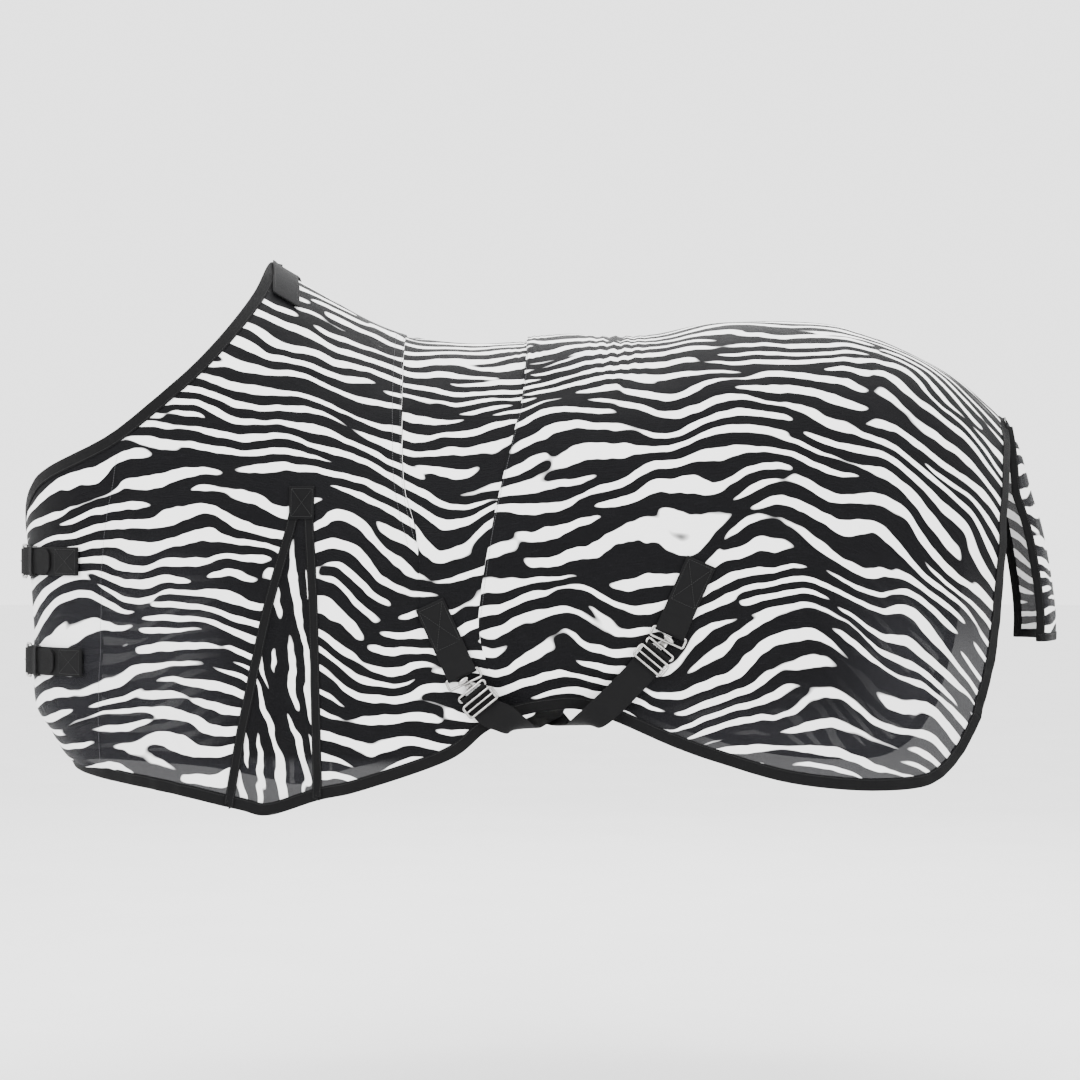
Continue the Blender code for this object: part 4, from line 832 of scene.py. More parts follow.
gusset_webbing = woven("gusset_webbing", 0.0010, 0.0008, 0.6)
for side, word in ((LEFT, "left"), (RIGHT, "right")):
    seams = []
    for edge, line, leans in (("front", GUSSET_FRONT, -1), ("back", GUSSET_BACK, 1)):
        run = spaced(line, 130)
        away = TAPES_PART * leans * (1 - np.linspace(0, 1, len(run))) ** 3
        run = run + np.stack([away, 0 * away], -1)
        run[-1, 1] += 0.004
        rise = 0.0004 + FLAT_THICK / 2 + 0.0022 * ramp(np.linspace(0, 1, len(run)), 0.955, 0.975)
        places = laid(run[:, 0], run[:, 1], side, rise)
        outs = looks(run[:, 0], run[:, 1], side)
        tape = sweep("%s_gusset_%s_tape_woven" % (word, edge), places, outs,
                     flat_profile(GUSSET_TAPE, FLAT_THICK), gusset_webbing)
        joins(tape, "sheet", "webbing", "%s_gusset_%s_tape" % (word, edge))
        ahead = unit(np.gradient(places, axis=0))
        across = np.cross(ahead, outs)
        for way in (-1, 1):
            aside = across * way * (GUSSET_TAPE / 2 - GUSSET_SEAM_INSET)
            seams.append((places + aside + outs * (FLAT_THICK / 2), outs))
    x, high, low = GUSSET_TOP[0], GUSSET_TOP[1] + TOP_ABOVE, GUSSET_TOP[1] - TOP_BELOW
    corners = ((x - TOP_HALF, high), (x + TOP_HALF, high), (x + TOP_HALF, low), (x - TOP_HALF, low))
    patch = flat_patch(word + "_gusset_top_webbing", corners, 16, 14, side, 0.0018, 0.0014, gusset_webbing)
    joins(patch, "sheet", "webbing", word + "_gusset_patch")
    seams += rectangle_seam(corners, side, 0.16, 0.0033, crossed=True)
    sew(word + "_gusset_stitching", seams, "sheet", black_thread)

# ------------------------------------------------------------------ wither patch
# A saddle of thick black felt folded over the top of the neck edge, so that the sheet
# doesn't rub the horse's withers. It is soft-edged and sewn round its border.
FELT_BACK, FELT_LONG, FELT_SWEEP, FELT_DROP = -0.4700, 0.044, 0.012, 0.056
FELT_THICK = 0.0028
FELT_LIFT = 0.0062  # of its outer face


def felt(name):
    n = Nodes(name)
    place = n.add("TexCoord", output="Object")
    fibres = n.noise(place, 520.0, 5.0)
    lumps = n.noise(place, 70.0, 3.0)
    shade = n.spread(fibres, 0.4, 0.8)
    n.finish("Base Color", n.blend(shade, (0.0020, 0.0020, 0.0023), (0.0080, 0.0080, 0.0086)))
    n.finish("Roughness", n.spread(fibres, 0.2, 0.8, 0.85, 1.0))
    n.relief(n.math("ADD", fibres, n.math("MULTIPLY", lumps, 0.8)), 0.0008, 0.8)
    n.shader.inputs["Sheen Weight"].default_value = 0.06
    n.shader.inputs["Specular IOR Level"].default_value = 0.15
    return n.material


def felt_places(lift):
    share = np.linspace(-1, 1, 49)[:, None]
    along = np.linspace(0, 1, 15)[None, :]
    uneven = 0.0015 * ripples(share * 0.1, along * 0.1, 0.05, 5)
    x = FELT_BACK + FELT_LONG * along + FELT_SWEEP * np.abs(share) + uneven
    z = spine_height(x) - FELT_DROP * np.abs(share) ** 2
    rows = []
    for half, side in ((share[:, 0] <= 0, LEFT), (share[:, 0] > 0, RIGHT)):
        rows.append(laid(x[half], z[half], side, lift))
    return np.vstack(rows)


felt_cap = felt_places(FELT_LIFT)
cap = piece_from("wither_felt", felt_cap, [q[::-1] for q in grid_quads(49, 15)], felt("black_felt"))
thickened(cap, FELT_THICK)
softened(cap, 0.0009, 3)
joins(cap, "sheet", "felt", "wither_patch")
rim = [felt_cap[2:-2, 1], felt_cap[2:-2, -2]]
rim_outs = [unit(np.stack([0 * r[:, 0], r[:, 1] * 2.0, 0.2 + 0 * r[:, 0]], -1)) for r in rim]
sew("wither_stitching", [(r + o * 0.0001, o) for r, o in zip(rim, rim_outs)], "sheet", black_thread)

# ------------------------------------------------------------------ tail flap
# A flap of the zebra mesh that hangs over the tail, sewn in at the top of the rear edge and
# curved round the tail. Its sides and lower edge are bound with narrow black tape.
FLAP_LINE = [(0.806, -0.139), (0.820, -0.158), (0.840, -0.205), (0.858, -0.270), (0.877, -0.335),
             (0.892, -0.420), (0.898, -0.480), (0.897, -0.524)]
FLAP_HALF, FLAP_WRAP, FLAP_TURN = 0.105, 0.050, math.radians(88)
FLAP_ROWS, FLAP_COLUMNS = 90, 56


def flap_places(share, turn):
    """Places on the flap: share down it from 0 to 1, and turn round the tail, in radians."""
    line = smooth_line(FLAP_LINE)
    at = share * (len(line) - 1)
    x = np.interp(at, np.arange(len(line)), line[:, 0])
    z = np.interp(at, np.arange(len(line)), line[:, 1])
    half = FLAP_HALF * (0.60 + 0.40 * np.minimum(share * 1.6, 1))
    wrap = FLAP_WRAP * np.minimum(share * 2.2 + 0.04, 1)
    wave = 0.0030 * np.sin(turn * 5 + share * 2) * ramp(share, 0.25, 1.0)
    return np.stack([x - (wrap + wave) * (1 - np.cos(turn)) + wave, (half + wave) * np.sin(turn),
                     z + 0 * turn], -1)


share, turn = np.meshgrid(np.linspace(0, 1, FLAP_ROWS + 1), np.linspace(-1, 1, FLAP_COLUMNS + 1) * FLAP_TURN,
                          indexing="ij")
flap_grid = flap_places(share, turn)
cut = np.stack([turn * 0.075, share * 0.41], -1)
flap = piece_from("tail_flap_cloth", flap_grid, grid_quads(*share.shape), zebra, cut, 0.75 + 0 * share)
thickened(flap, CLOTH)
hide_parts("tail_flap")
edge = np.vstack([flap_grid[12:, 0], flap_grid[-1, 1:-1], flap_grid[12:, -1][::-1]])
inner = np.vstack([flap_grid[12:-1, 3], flap_grid[-4:-3, 3], flap_grid[-4, 1:-1], flap_grid[-4:-3, -4],
                   flap_grid[12:-1, -4][::-1]])
run = unit(np.gradient(edge, axis=0))
leg = inner - edge
leg = unit(leg - run * np.sum(leg * run, axis=1, keepdims=True))
out = np.cross(run, leg)
out *= np.sign(np.sum(out * (edge - (0.70, 0, -0.30)), axis=1, keepdims=True))
FLAP_TAPE = 0.0130
profile = np.array(fold_profile(FLAP_TAPE))
loops = edge[:, None] + profile[None, :, :1] * leg[:, None] + profile[None, :, 1:] * out[:, None]
reach = reach_along(edge)
cut = np.stack(np.broadcast_arrays(profile[None, :, 0], reach[:, None]), -1)
flap_tape = piece_from("tail_flap_tape", loops, tube_quads(*loops.shape[:2]), ribbed_tape, cut)
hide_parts("tail_flap_binding")
for piece in (flap, flap_tape):
    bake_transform(piece)
flap_seam = edge + leg * (FLAP_TAPE - 0.0025) + out * (HIDE + TAPE_THICK)
flap_sewing = sew("tail_flap_stitching", [(flap_seam[8:-8], out[8:-8])], "tail_flap", black_thread)

# ------------------------------------------------------------------ belly strap patches
# Doubled polyester webbing, folded round a steel ring on the near side and sewn flat on the
# far side, each held to the mesh by a box of stitches crossed from corner to corner.
WEBBING_WIDE, WEBBING_THICK, PATCH_LONG = 0.0500, 0.0020, 0.122
WIRE = 0.0021  # radius of the steel wire
PATCH_LIFT, BAR_DROP, BAR_LIFT = 0.0046, 0.0055, 0.0031
UNDER_LAYER, TOP_LAYER, SEAM_LIFT = 0.0014, 0.0037, 0.00475  # of the layers' middles and of the stitches
FOLD_AT = 0.014  # where the two layers of a patch part towards the ring
SLANTS = {"front": math.radians(25), "rear": math.radians(-24)}
PULLS = {"front": math.radians(39), "rear": math.radians(-40)}
SPOTS = {"front": FRONT_PATCH, "rear": REAR_PATCH}


def strap_axes(spot, slant, lift=PATCH_LIFT):
    """Where webbing lies on the left side: local X across it, Y up it, Z outwards."""
    x, z = spot
    along = Vector(unit(on_body(x + 0.03, z) - on_body(x - 0.03, z)))
    upward = Vector(unit(on_body(x, z + 0.03) - on_body(x, z - 0.03)))
    out = along.cross(upward).normalized()
    up = Matrix.Rotation(slant, 3, out) @ upward
    up = (up - out * up.dot(out)).normalized()
    axes = Matrix((up.cross(out), up, out)).transposed().to_4x4()
    axes.translation = Vector(on_body(x, z)) + out * lift
    return axes


def in_axes(axes, points):
    return np.array([axes @ Vector(p) for p in np.atleast_2d(points)])


def ways(axes, vectors):
    turn = axes.to_3x3()
    return np.array([turn @ Vector(v) for v in np.atleast_2d(vectors)])


def lying(axes, across, up, side, lift):
    """Places on the cloth under webbing points, with the ways outwards there."""
    flat = in_axes(axes, np.stack([across, up, 0 * up], -1))
    return laid(flat[:, 0], flat[:, 2], side, lift), looks(flat[:, 0], flat[:, 2], side)


def webbing_piece(name, places, outs, wide, thick, *nodes):
    """A length of strap webbing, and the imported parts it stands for."""
    made = sweep(name, places, outs, flat_profile(wide, thick), strap_webbing)
    joins(made, "sheet", "webbing", *nodes)


strap_webbing = woven("black_strap_webbing", 0.0016, 0.0011, 0.9, 0.09)
for word in ("front", "rear"):
    axes = strap_axes(SPOTS[word], SLANTS[word])
    for side, side_word in ((LEFT, "left"), (RIGHT, "right")):
        run = np.linspace(PATCH_LONG - 0.001, FOLD_AT, 34)
        inner, inner_out = lying(axes, 0 * run, run, side, UNDER_LAYER)
        settle = (0.0012 * (1 - ramp(run, FOLD_AT, 0.050)))[:, None]
        outer, outer_out = lying(axes, 0 * run, run, side, TOP_LAYER)
        if side == LEFT:
            turns = np.radians(np.linspace(292, 72, 22))
            radius = WIRE + 0.0005 + WEBBING_THICK / 2
            fold = in_axes(axes, np.stack([0 * turns, radius * np.cos(turns) - BAR_DROP,
                                           radius * np.sin(turns) + BAR_LIFT], -1))
            fold_out = ways(axes, np.stack([0 * turns, np.cos(turns), np.sin(turns)], -1))
            keep = run > 0.020
            places = np.vstack([inner + inner_out * settle, fold, (outer + outer_out * settle)[keep][::-1]])
            outs = np.vstack([-inner_out, fold_out, outer_out[keep][::-1]])
        else:
            turns = np.radians(np.linspace(270, 90, 12))
            centre = np.zeros(1)
            lift = UNDER_LAYER + WEBBING_THICK / 2 + 0.0001
            end, end_out = lying(axes, centre, centre + FOLD_AT, side, lift)
            down = unit(lying(axes, centre, centre + 0.010, side, 0.0)[0]
                        - lying(axes, centre, centre + FOLD_AT, side, 0.0)[0])
            radius = WEBBING_THICK / 2 + 0.00012
            fold_out = unit(np.abs(np.cos(turns))[:, None] * down + np.sin(turns)[:, None] * end_out)
            places = np.vstack([inner, end + fold_out * radius, outer[::-1]])
            outs = np.vstack([-inner_out, fold_out, outer_out[::-1]])
        name = "%s_%s_patch" % (side_word, word)
        webbing_piece(name + "_woven", places, outs, WEBBING_WIDE, WEBBING_THICK, name)
        half, low, high = WEBBING_WIDE / 2 - 0.004, 0.046, PATCH_LONG - 0.006
        seams = []
        box = [(-half, low), (half, low), (half, high), (-half, high)]
        rows_sewn = list(zip(box, box[1:] + box[:1])) + [(box[0], box[2]), (box[1], box[3])]
        share = np.linspace(0, 1, 40)
        for a, b in rows_sewn + [((-half, 0.030), (half, 0.030))]:
            across, up = (a[i] + (b[i] - a[i]) * share for i in (0, 1))
            seams.append(lying(axes, across, up, side, SEAM_LIFT))
        sew(name + "_stitching", seams, "sheet", black_thread)

# ------------------------------------------------------------------ rings, hooks and slides
# Nickel-plated steel. A square wire ring hangs in each near patch, a bent hook with a round
# head clips over its lower bar, and a three-bar slide below it sets the strap's length.
RING_WIDE, RING_DEEP, SLIDE_DEEP = 0.062, 0.020, 0.026
HOOK_REACH, HOOK_LOOP, SLIDE_REACH = 0.0205, 0.0125, 0.0185
HEAD_LIFT, NECK_DIP = 0.0076, 0.0048
LOOP_STEP = 0.004  # between points on a wire's straights


def plated(name):
    """Bright nickel plate, finely scratched and duller in patches."""
    n = Nodes(name)
    place = n.add("TexCoord", output="Object")
    clouds = n.noise(place, 60.0, 4.0)
    scratched = n.add("VectorMath", {0: place}, {1: (260, 1900, 700)}, operation="MULTIPLY")
    scratches = n.noise(scratched, 1.0, 1.0)
    n.finish("Base Color", n.blend(n.spread(clouds, 0.35, 0.75), (0.40, 0.395, 0.385), (0.21, 0.205, 0.20)))
    worn = n.math("ADD", clouds, n.math("MULTIPLY", scratches, 0.3))
    n.finish("Roughness", n.spread(worn, 0.4, 1.0, 0.14, 0.34))
    n.relief(scratches, 0.00004, 0.35)
    n.shader.inputs["Metallic"].default_value = 1.0
    return n.material


def round_wire(radius, sides=14):
    return [(radius * math.cos(t), radius * math.sin(t)) for t in np.linspace(0, math.tau, sides + 1)[:-1]]


def wire_loop(wide, deep, corner, middle=0.0, steps=9):
    """Points round a rectangle of wire, outside size wide by deep, in local X and Y."""
    half, tall, points = wide / 2 - WIRE, deep / 2 - WIRE, []
    for quarter, (sx, sy) in enumerate(((1, 1), (-1, 1), (-1, -1), (1, -1))):
        corners = [(quarter + s / steps) * math.pi / 2 for s in range(steps + 1)]
        points += [(sx * (half - corner) + corner * math.cos(t),
                    middle + sy * (tall - corner) + corner * math.sin(t), 0.0) for t in corners]
    dense = []
    for a, b in zip(points, points[1:] + points[:1]):
        count = max(1, round(math.dist(a, b) / LOOP_STEP))
        dense += [tuple(p + (q - p) * i / count for p, q in zip(a, b)) for i in range(count)]
    return dense


def wire_object(name, points, axes, radius, closed=True):
    """Plated wire along local points."""
    outs = ways(axes, [(0, 0, 1)] * len(points))
    return sweep(name, in_axes(axes, points), outs, round_wire(radius), nickel, closed)


def merged(name, pieces):
    """One mesh of several, each a closed solid."""
    points, faces = [], []
    for piece in pieces:
        first = len(points)
        points += [tuple(v.co) for v in piece.data.vertices]
        faces += [tuple(first + v for v in p.vertices) for p in piece.data.polygons]
        bpy.data.objects.remove(piece, do_unlink=True)
    return piece_from(name, points, faces, nickel)


def plate_along(name, line, wides, thick, axes):
    """A bent plate: (y, z) along it with a width at each place."""
    fine = smooth_line([(*spot, wide) for spot, wide in zip(line, wides)], 6)
    places = in_axes(axes, np.stack([0 * fine[:, 0], fine[:, 0], fine[:, 1]], -1))
    ahead = np.gradient(fine[:, :2], axis=0)
    outs = ways(axes, np.stack([0 * ahead[:, 0], -ahead[:, 1], ahead[:, 0]], -1))
    return sweep(name, places, outs, [(a * 0.5, b) for a, b in rounded_bar(thick)], nickel, shares=fine[:, 2])


def rounded_bar(thick):
    """Section of a plate one unit wide, its edges rounded."""
    half = thick / 2
    upper = [(-1.0, 0.0), (-0.94, half * 0.75), (-0.82, half), (0.82, half), (0.94, half * 0.75), (1.0, 0.0)]
    return upper + [(a, -b) for a, b in upper[1:-1][::-1]]


def dome(name, centre, radii, axes, rings=9, around=28):
    """A low button head, flatter underneath."""
    points = []
    for r in range(rings):
        t = math.pi * (r + 0.5) / rings
        for c in range(around):
            u = math.tau * c / around
            points.append((centre[0] + radii[0] * math.sin(t) ** 0.7 * math.cos(u),
                           centre[1] + radii[1] * math.sin(t) ** 0.7 * math.sin(u),
                           centre[2] + radii[2] * math.cos(t)))
    return piece_from(name, in_axes(axes, points), tube_quads(rings, around), nickel)


nickel = plated("nickel_plate")
hook_axes = {}
for word in ("front", "rear"):
    axes = strap_axes(SPOTS[word], SLANTS[word])
    ring_axes = axes @ Matrix.Translation((0, -BAR_DROP, BAR_LIFT))
    ring = wire_object(word + "_ring_wire", wire_loop(RING_WIDE, RING_DEEP, 0.0036, WIRE - RING_DEEP / 2),
                       ring_axes, WIRE)
    joins(ring, word + "_ring", "nickel", word + "_strap_ring")
    low = axes @ Matrix.Translation((0, -BAR_DROP - RING_DEEP + 2 * WIRE, BAR_LIFT))
    low = low @ Matrix.Rotation(PULLS[word] - SLANTS[word], 4, "Z")
    hook_axes[word] = low
    base = WIRE - HOOK_REACH
    middle = base + HOOK_LOOP / 2 - 2 * WIRE
    loop = wire_object("loop", wire_loop(RING_WIDE - 0.006, HOOK_LOOP, 0.0034, middle), low, WIRE)
    top = base + HOOK_LOOP - 3 * WIRE
    bent = [(top - 0.0006, 0.0002), (top + 0.0035, -0.0030), (-0.0020, -NECK_DIP), (0.0030, -NECK_DIP),
            (0.0056, -0.0020), (0.0060, 0.0030), (0.0056, HEAD_LIFT)]
    neck = plate_along("neck", bent, (0.0150, 0.0120, 0.0100, 0.0100, 0.0096, 0.0090, 0.0090), 0.0022, low)
    head = dome("head", (0, 0.0056, HEAD_LIFT), (0.0098, 0.0042, 0.0031), low)
    hook = merged(word + "_hook_metal", [loop, neck, head])
    joins(hook, word + "_hook", "nickel", word + "_strap_hook")
    place = low @ Matrix.Translation((0, -HOOK_REACH - SLIDE_REACH, 0.0040))
    outer = wire_object("outer", wire_loop(RING_WIDE, SLIDE_DEEP, 0.0045), place, WIRE)
    run = np.linspace(-RING_WIDE / 2 + WIRE, RING_WIDE / 2 - WIRE, 20)
    bar = wire_object("bar", np.stack([run, 0 * run, 0 * run], -1), place, WIRE * 0.8, closed=False)
    slide = merged(word + "_slide_metal", [outer, bar])
    joins(slide, word + "_slide", "nickel", word + "_strap_slide")

# ------------------------------------------------------------------ belly straps
# Black polyester webbing, folded round each hook's lower bar and sewn back on itself. The
# two straps cross under the belly and are sewn to the opposite patches on the far side.
STRAP_WIDE, STRAP_THICK = 0.0470, 0.0015
UNDER_STOPS = {"front": [(-0.060, -0.3265, -0.6410, 0.10), (-0.037, -0.3240, -0.6540, 0.80),
                         (-0.022, -0.3030, -0.6590, 1.45)],
               "rear": [(0.128, -0.3280, -0.6030, 0.05), (0.098, -0.3305, -0.6310, 0.20),
                        (0.077, -0.3250, -0.6460, 0.80), (0.062, -0.3030, -0.6535, 1.45)]}
BELLY_LEVEL = {"front": -0.648, "rear": -0.657}
UNDER_BELLY = ((-0.255, 0.26), (-0.170, 0.40), (0.0, 0.50), (0.170, 0.60), (0.255, 0.74))  # y, share across


def under_stops(stops, side):
    return [((x, -side * y, z), (0, side * math.cos(tilt), -math.sin(tilt))) for x, y, z, tilt in stops]


def route(stops, count):
    """Evenly spaced places and facings along a smooth line of (place, facing) stops."""
    line = smooth_line([[*p, *f] for p, f in stops], 24)
    reach = reach_along(line[:, :3])
    goals = np.linspace(0, reach[-1], count)
    line = np.stack([np.interp(goals, reach, line[:, i]) for i in range(6)], -1)
    return line[:, :3], unit(line[:, 3:])


for word, other in (("front", "rear"), ("rear", "front")):
    low = hook_axes[word]
    out = ways(low, (0, 0, 1))[0]
    back = np.linspace(0.034, 0.0042, 12)
    radius = WIRE + 0.0003 + STRAP_THICK / 2
    bar_y = -HOOK_REACH
    places = [in_axes(low, np.stack([0 * back, bar_y - back, 0 * back - 0.0022], -1))]
    outs = [ways(low, [(0, 0, -1)] * len(back))]
    swing = np.radians(np.linspace(-100, 130, 28))  # 0 is up the strap, 90 outwards, -90 inwards
    around = np.stack([0 * swing, np.cos(swing), np.sin(swing)], -1)
    places.append(in_axes(low, around * radius + (0, bar_y, 0)))
    outs.append(ways(low, around))
    stops = [(in_axes(low, (0, bar_y - step, lift))[0], out)
             for step, lift in ((0.0046, 0.0004), (0.020, -0.0002), (0.040, -0.0004))]
    stops += under_stops(UNDER_STOPS[word], LEFT)
    x, far_x = UNDER_STOPS[word][-1][0], UNDER_STOPS[other][-1][0]
    for across, share in UNDER_BELLY:
        stops.append(((x + (far_x - x) * share, across, BELLY_LEVEL[word]), (0, 0, -1)))
    stops += under_stops(UNDER_STOPS[other], RIGHT)[::-1]
    far = strap_axes(SPOTS[other], PULLS[other])
    mirror = np.array((1, -1, 1))
    far_out = ways(far, (0, 0, 1))[0] * mirror
    stops.append((in_axes(far, (0, -0.036, 0.0012))[0] * mirror, far_out))
    stops.append((in_axes(far, (0, -0.010, 0.0020))[0] * mirror, far_out))
    patch_axes = strap_axes(SPOTS[other], SLANTS[other])
    for up in (0.018, 0.040):
        spot, facing_out = lying(patch_axes, np.zeros(1), np.array([up]), RIGHT, 0.0059)
        stops.append((spot[0], facing_out[0]))
    run, run_outs = route(stops, 210)
    webbing_piece(word + "_belly_strap_woven", np.vstack(places + [run]), np.vstack(outs + [run_outs]),
                  STRAP_WIDE, STRAP_THICK, word + "_belly_strap")

# ------------------------------------------------------------------ chest fastenings
# On each of two levels a strap of black webbing, sewn to the right side, crosses the chest to
# a plated buckle held in a folded patch on the left side; its end is tucked through a keeper.
CHEST_WIDE, CHEST_THICK = 0.048, 0.0020
BUCKLE_PLACE, BUCKLE_LONG, BUCKLE_LIFT, PRONG = 0.086, 0.036, 0.0100, 0.0014
LEVELS = (("upper", -0.388), ("lower", -0.557))
CHEST_FOLLOWED = 0.30  # length in x over which the chest's line is followed
SPAN_BOW = 0.0035  # the strap stands ahead of the chest where it crosses the opening
PRONG_GAP = 0.0040  # half of the slot that lets the prong through the patch's fold
SEWN_FROM, SEWN_TO = 0.190, 0.237  # round the chest, of the box of stitches
# Distances round the chest from its middle, each with a lift off it.
PATCH_TOP = ((0.243, 0.0044), (0.220, 0.0044), (0.190, 0.0044), (0.160, 0.0046), (0.140, 0.0054),
             (0.126, 0.0078), (0.116, 0.0096))
PATCH_UNDER = ((0.124, 0.0030), (0.140, 0.0022), (0.160, 0.0020), (0.200, 0.0020), (0.240, 0.0020))
STRAP_START = ((-0.243, 0.0030), (-0.210, 0.0030), (-0.180, 0.0030), (-0.160, 0.0030), (-0.125, 0.0044),
               (-0.090, 0.0044), (-0.055, 0.0044), (-0.020, 0.0044), (0.020, 0.0044), (0.046, 0.0044))
STRAP_END = ((0.122, 0.0150), (0.140, 0.0118), (0.160, 0.0100), (0.180, 0.0084))


def chest_line(height):
    """Places round the left half of the chest at one height, from the middle."""
    front = float(front_line(-height))
    run = front + CHEST_FOLLOWED * (np.arange(241) / 240) ** 2
    return np.vstack([[[front, 0, height]], on_body(run, 0 * run + height)])


def round_chest(line, reach, lift):
    """Place and facing at a distance round the chest, to the left of its middle, or right if minus."""
    total = reach_along(line)
    at = min(int(np.searchsorted(total, abs(reach), side="right")) - 1, len(line) - 2)
    ahead = unit(line[at + 1] - line[at])
    out = np.array((ahead[1], -ahead[0], 0.0))
    place = line[at] + ahead * (abs(reach) - total[at]) + out * lift
    flip = np.array((1, 1 if reach >= 0 else -1, 1))
    return place * flip, out * flip


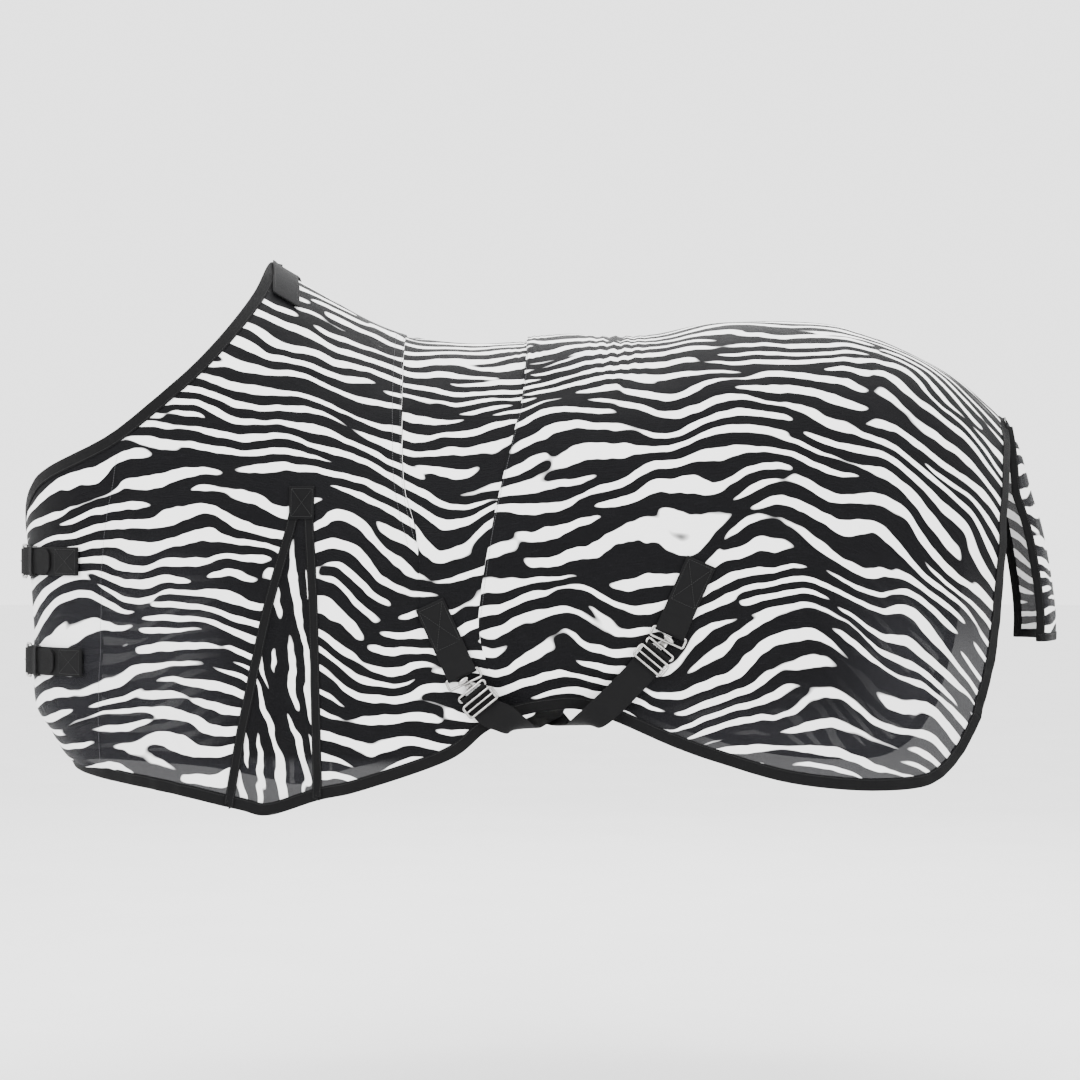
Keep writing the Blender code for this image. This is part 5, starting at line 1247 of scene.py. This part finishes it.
for level, height in LEVELS:
    line = chest_line(height)
    place, out = round_chest(line, BUCKLE_PLACE, BUCKLE_LIFT)
    along = np.cross((0, 0, 1), out)
    along = along * np.sign(along[0])
    axes = Matrix((Vector(along), Vector(np.cross(out, along)), Vector(out))).transposed().to_4x4()
    axes.translation = Vector(place)
    reach = BUCKLE_LONG / 2 - WIRE
    heel, bar = place + along * reach, place - along * reach
    turned = axes @ Matrix.Rotation(math.pi / 2, 4, "Z")
    outline = wire_loop(CHEST_WIDE + 0.012, BUCKLE_LONG, 0.0045)
    buckle = wire_object(level + "_buckle_wire", outline, turned, WIRE)
    joins(buckle, level + "_buckle", "nickel", level + "_chest_buckle")
    heel_axes = axes @ Matrix.Translation((reach, 0, 0))
    eye = WIRE + 0.0005 + PRONG
    circle = [(eye * math.cos(t), 0, eye * math.sin(t)) for t in np.linspace(0, math.tau, 25)[:-1]]
    places = in_axes(heel_axes, circle)
    loop = sweep("eye", places, ways(heel_axes, [(0, 1, 0)] * 24), round_wire(PRONG, 12), nickel, closed=True)
    tip = smooth_line([(-eye, 0, 0.0005), (-reach, 0, 0.0022), (0.003 - 2 * reach, 0, 0.0039),
                       (-0.0025 - 2 * reach, 0, WIRE + PRONG + 0.0006)], 8)
    rod_outs = ways(heel_axes, [(0, 0, 1)] * len(tip))
    rod = sweep("rod", in_axes(heel_axes, tip), rod_outs, round_wire(PRONG, 12), nickel)
    prong = merged(level + "_prong_wire", [loop, rod])
    joins(prong, level + "_prong", "nickel", level + "_chest_prong")

    fold = WIRE + 0.0004 + CHEST_THICK / 2
    turns = np.radians(np.linspace(62, 264, 18))
    arc = heel + (along * np.cos(turns)[:, None] + out * np.sin(turns)[:, None]) * fold
    arc_out = along * np.cos(turns)[:, None] + out * np.sin(turns)[:, None]
    upper = [round_chest(line, *stop) for stop in PATCH_TOP]
    lower = [round_chest(line, *stop) for stop in PATCH_UNDER]
    flat, flat_out = route(upper, 22)
    under, under_out = route(lower, 18)
    webbing_piece(level + "_patch_top_layer", flat, flat_out, CHEST_WIDE, CHEST_THICK,
                  "left_%s_chest_patch" % level)
    webbing_piece(level + "_patch_under_layer", under, -under_out, CHEST_WIDE, CHEST_THICK)
    part_wide = CHEST_WIDE / 2 - PRONG_GAP
    for word, way in (("above", 1), ("below", -1)):
        lift = np.array((0, 0, way * (PRONG_GAP + part_wide / 2)))
        ends = np.vstack([flat[-2:], arc, under[:2]]) + lift
        end_outs = np.vstack([flat_out[-2:], arc_out, -under_out[:2]])
        webbing_piece("%s_patch_fold_%s" % (level, word), ends, end_outs, part_wide, CHEST_THICK)

    stops = [round_chest(line, *stop) for stop in STRAP_START]
    for i in (7, 8):
        stops[i] = (stops[i][0] + (-SPAN_BOW, 0, 0), stops[i][1])
    stops.append((bar - out * (WIRE + CHEST_THICK / 2 + 0.0007), out))
    stops.append(((bar + heel) / 2 + out * 0.0008, out))
    stops.append((heel + out * (fold + CHEST_THICK + 0.0026), out))
    stops += [round_chest(line, *stop) for stop in STRAP_END]
    run, run_out = route(stops, 130)
    narrow = np.ones(len(run))
    narrow[-4:] = (0.97, 0.90, 0.76, 0.52)
    strap = sweep(level + "_chest_strap_woven", run, run_out, flat_profile(CHEST_WIDE * 0.9, CHEST_THICK),
                  strap_webbing, shares=narrow)
    joins(strap, "sheet", "webbing", level + "_chest_strap")

    base, facing_out = round_chest(line, 0.134, 0.0)
    half, low_edge, high_edge = CHEST_WIDE / 2 + 0.0012, 0.0066, 0.0166
    corner = [(half - 0.003, high_edge), (half + 0.0002, high_edge - 0.004), (half, low_edge)]
    bridge = smooth_line([(-a, b) for a, b in corner[::-1]] + [(0, high_edge + 0.0004)] + corner, 8)
    points = base + np.array((0, 0, 1.0)) * bridge[:, :1] + facing_out * bridge[:, 1:]
    ahead = np.gradient(bridge, axis=0)
    band_out = -ahead[:, 1:] * np.array((0, 0, 1.0)) + ahead[:, :1] * facing_out
    webbing_piece(level + "_keeper_band", points, band_out, 0.0120, 0.0013, level + "_chest_keeper")

    seams = []
    for side_sign, lift in ((1, 0.0055), (-1, 0.0042)):
        begin, end = SEWN_FROM, SEWN_TO
        for a, b, tall_a, tall_b in ((begin, end, 1, 1), (end, end, 1, -1), (end, begin, -1, -1),
                                     (begin, begin, -1, 1), (begin, end, 1, -1), (begin, end, -1, 1)):
            share = np.linspace(0, 1, 30)
            spots = [round_chest(line, side_sign * (a + (b - a) * s), lift) for s in share]
            rise = (tall_a + (tall_b - tall_a) * share) * (CHEST_WIDE / 2 - 0.004)
            places = np.array([p for p, _ in spots]) + rise[:, None] * np.array((0, 0, 1.0))
            seams.append((places, np.array([o for _, o in spots])))
    sew(level + "_chest_stitching", seams, "sheet", black_thread)

# ------------------------------------------------------------------ floor and light
# A plain pale floor at the height of the horse's hooves, and soft light from large lamps
# above and to both sides, as in a small studio.
FLOOR_HEIGHT = -1.30
floor_mesh = bpy.data.meshes.new("floor")
ring_points = [(34 * math.cos(t), 34 * math.sin(t), FLOOR_HEIGHT) for t in np.linspace(0, math.tau, 65)[:-1]]
floor_mesh.from_pydata(ring_points, [], [tuple(range(64))])
floor = bpy.data.objects.new("floor", floor_mesh)
bpy.context.scene.collection.objects.link(floor)
n = Nodes("pale_floor")
place = n.add("TexCoord", output="Object")
shade = n.spread(n.noise(place, 3.0, 4.0), 0.3, 0.7)
n.finish("Base Color", n.blend(shade, (0.86, 0.86, 0.86), (0.89, 0.89, 0.89)))
n.shader.inputs["Roughness"].default_value = 0.9
floor_mesh.materials.append(n.material)
floor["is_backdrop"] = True

world = bpy.data.worlds.new("studio")
bpy.context.scene.world = world
world.use_nodes = True
world.node_tree.nodes["Background"].inputs["Color"].default_value = (1.0, 1.0, 1.0, 1.0)
world.node_tree.nodes["Background"].inputs["Strength"].default_value = 2.7


def soft_lamp(name, place, power, size):
    """A square soft box that looks at the middle of the sheet."""
    lamp = bpy.data.objects.new(name, bpy.data.lights.new(name, "AREA"))
    lamp.data.energy = power
    lamp.data.size = size
    lamp.location = place
    lamp.rotation_euler = (Vector((0, 0, -0.35)) - Vector(place)).to_track_quat("-Z", "Y").to_euler()
    bpy.context.scene.collection.objects.link(lamp)


soft_lamp("lamp_left_of_camera", (-2.6, -3.4, 1.5), 150, 2.2)
soft_lamp("lamp_right_of_camera", (2.8, -3.2, 1.0), 85, 2.2)
soft_lamp("lamp_above", (0.2, 0.3, 2.6), 130, 2.6)
soft_lamp("lamp_behind", (0.6, 3.4, 1.4), 45, 2.4)

# ------------------------------------------------------------------ sizes
# The box of everything shown, the floor left out.
low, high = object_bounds()
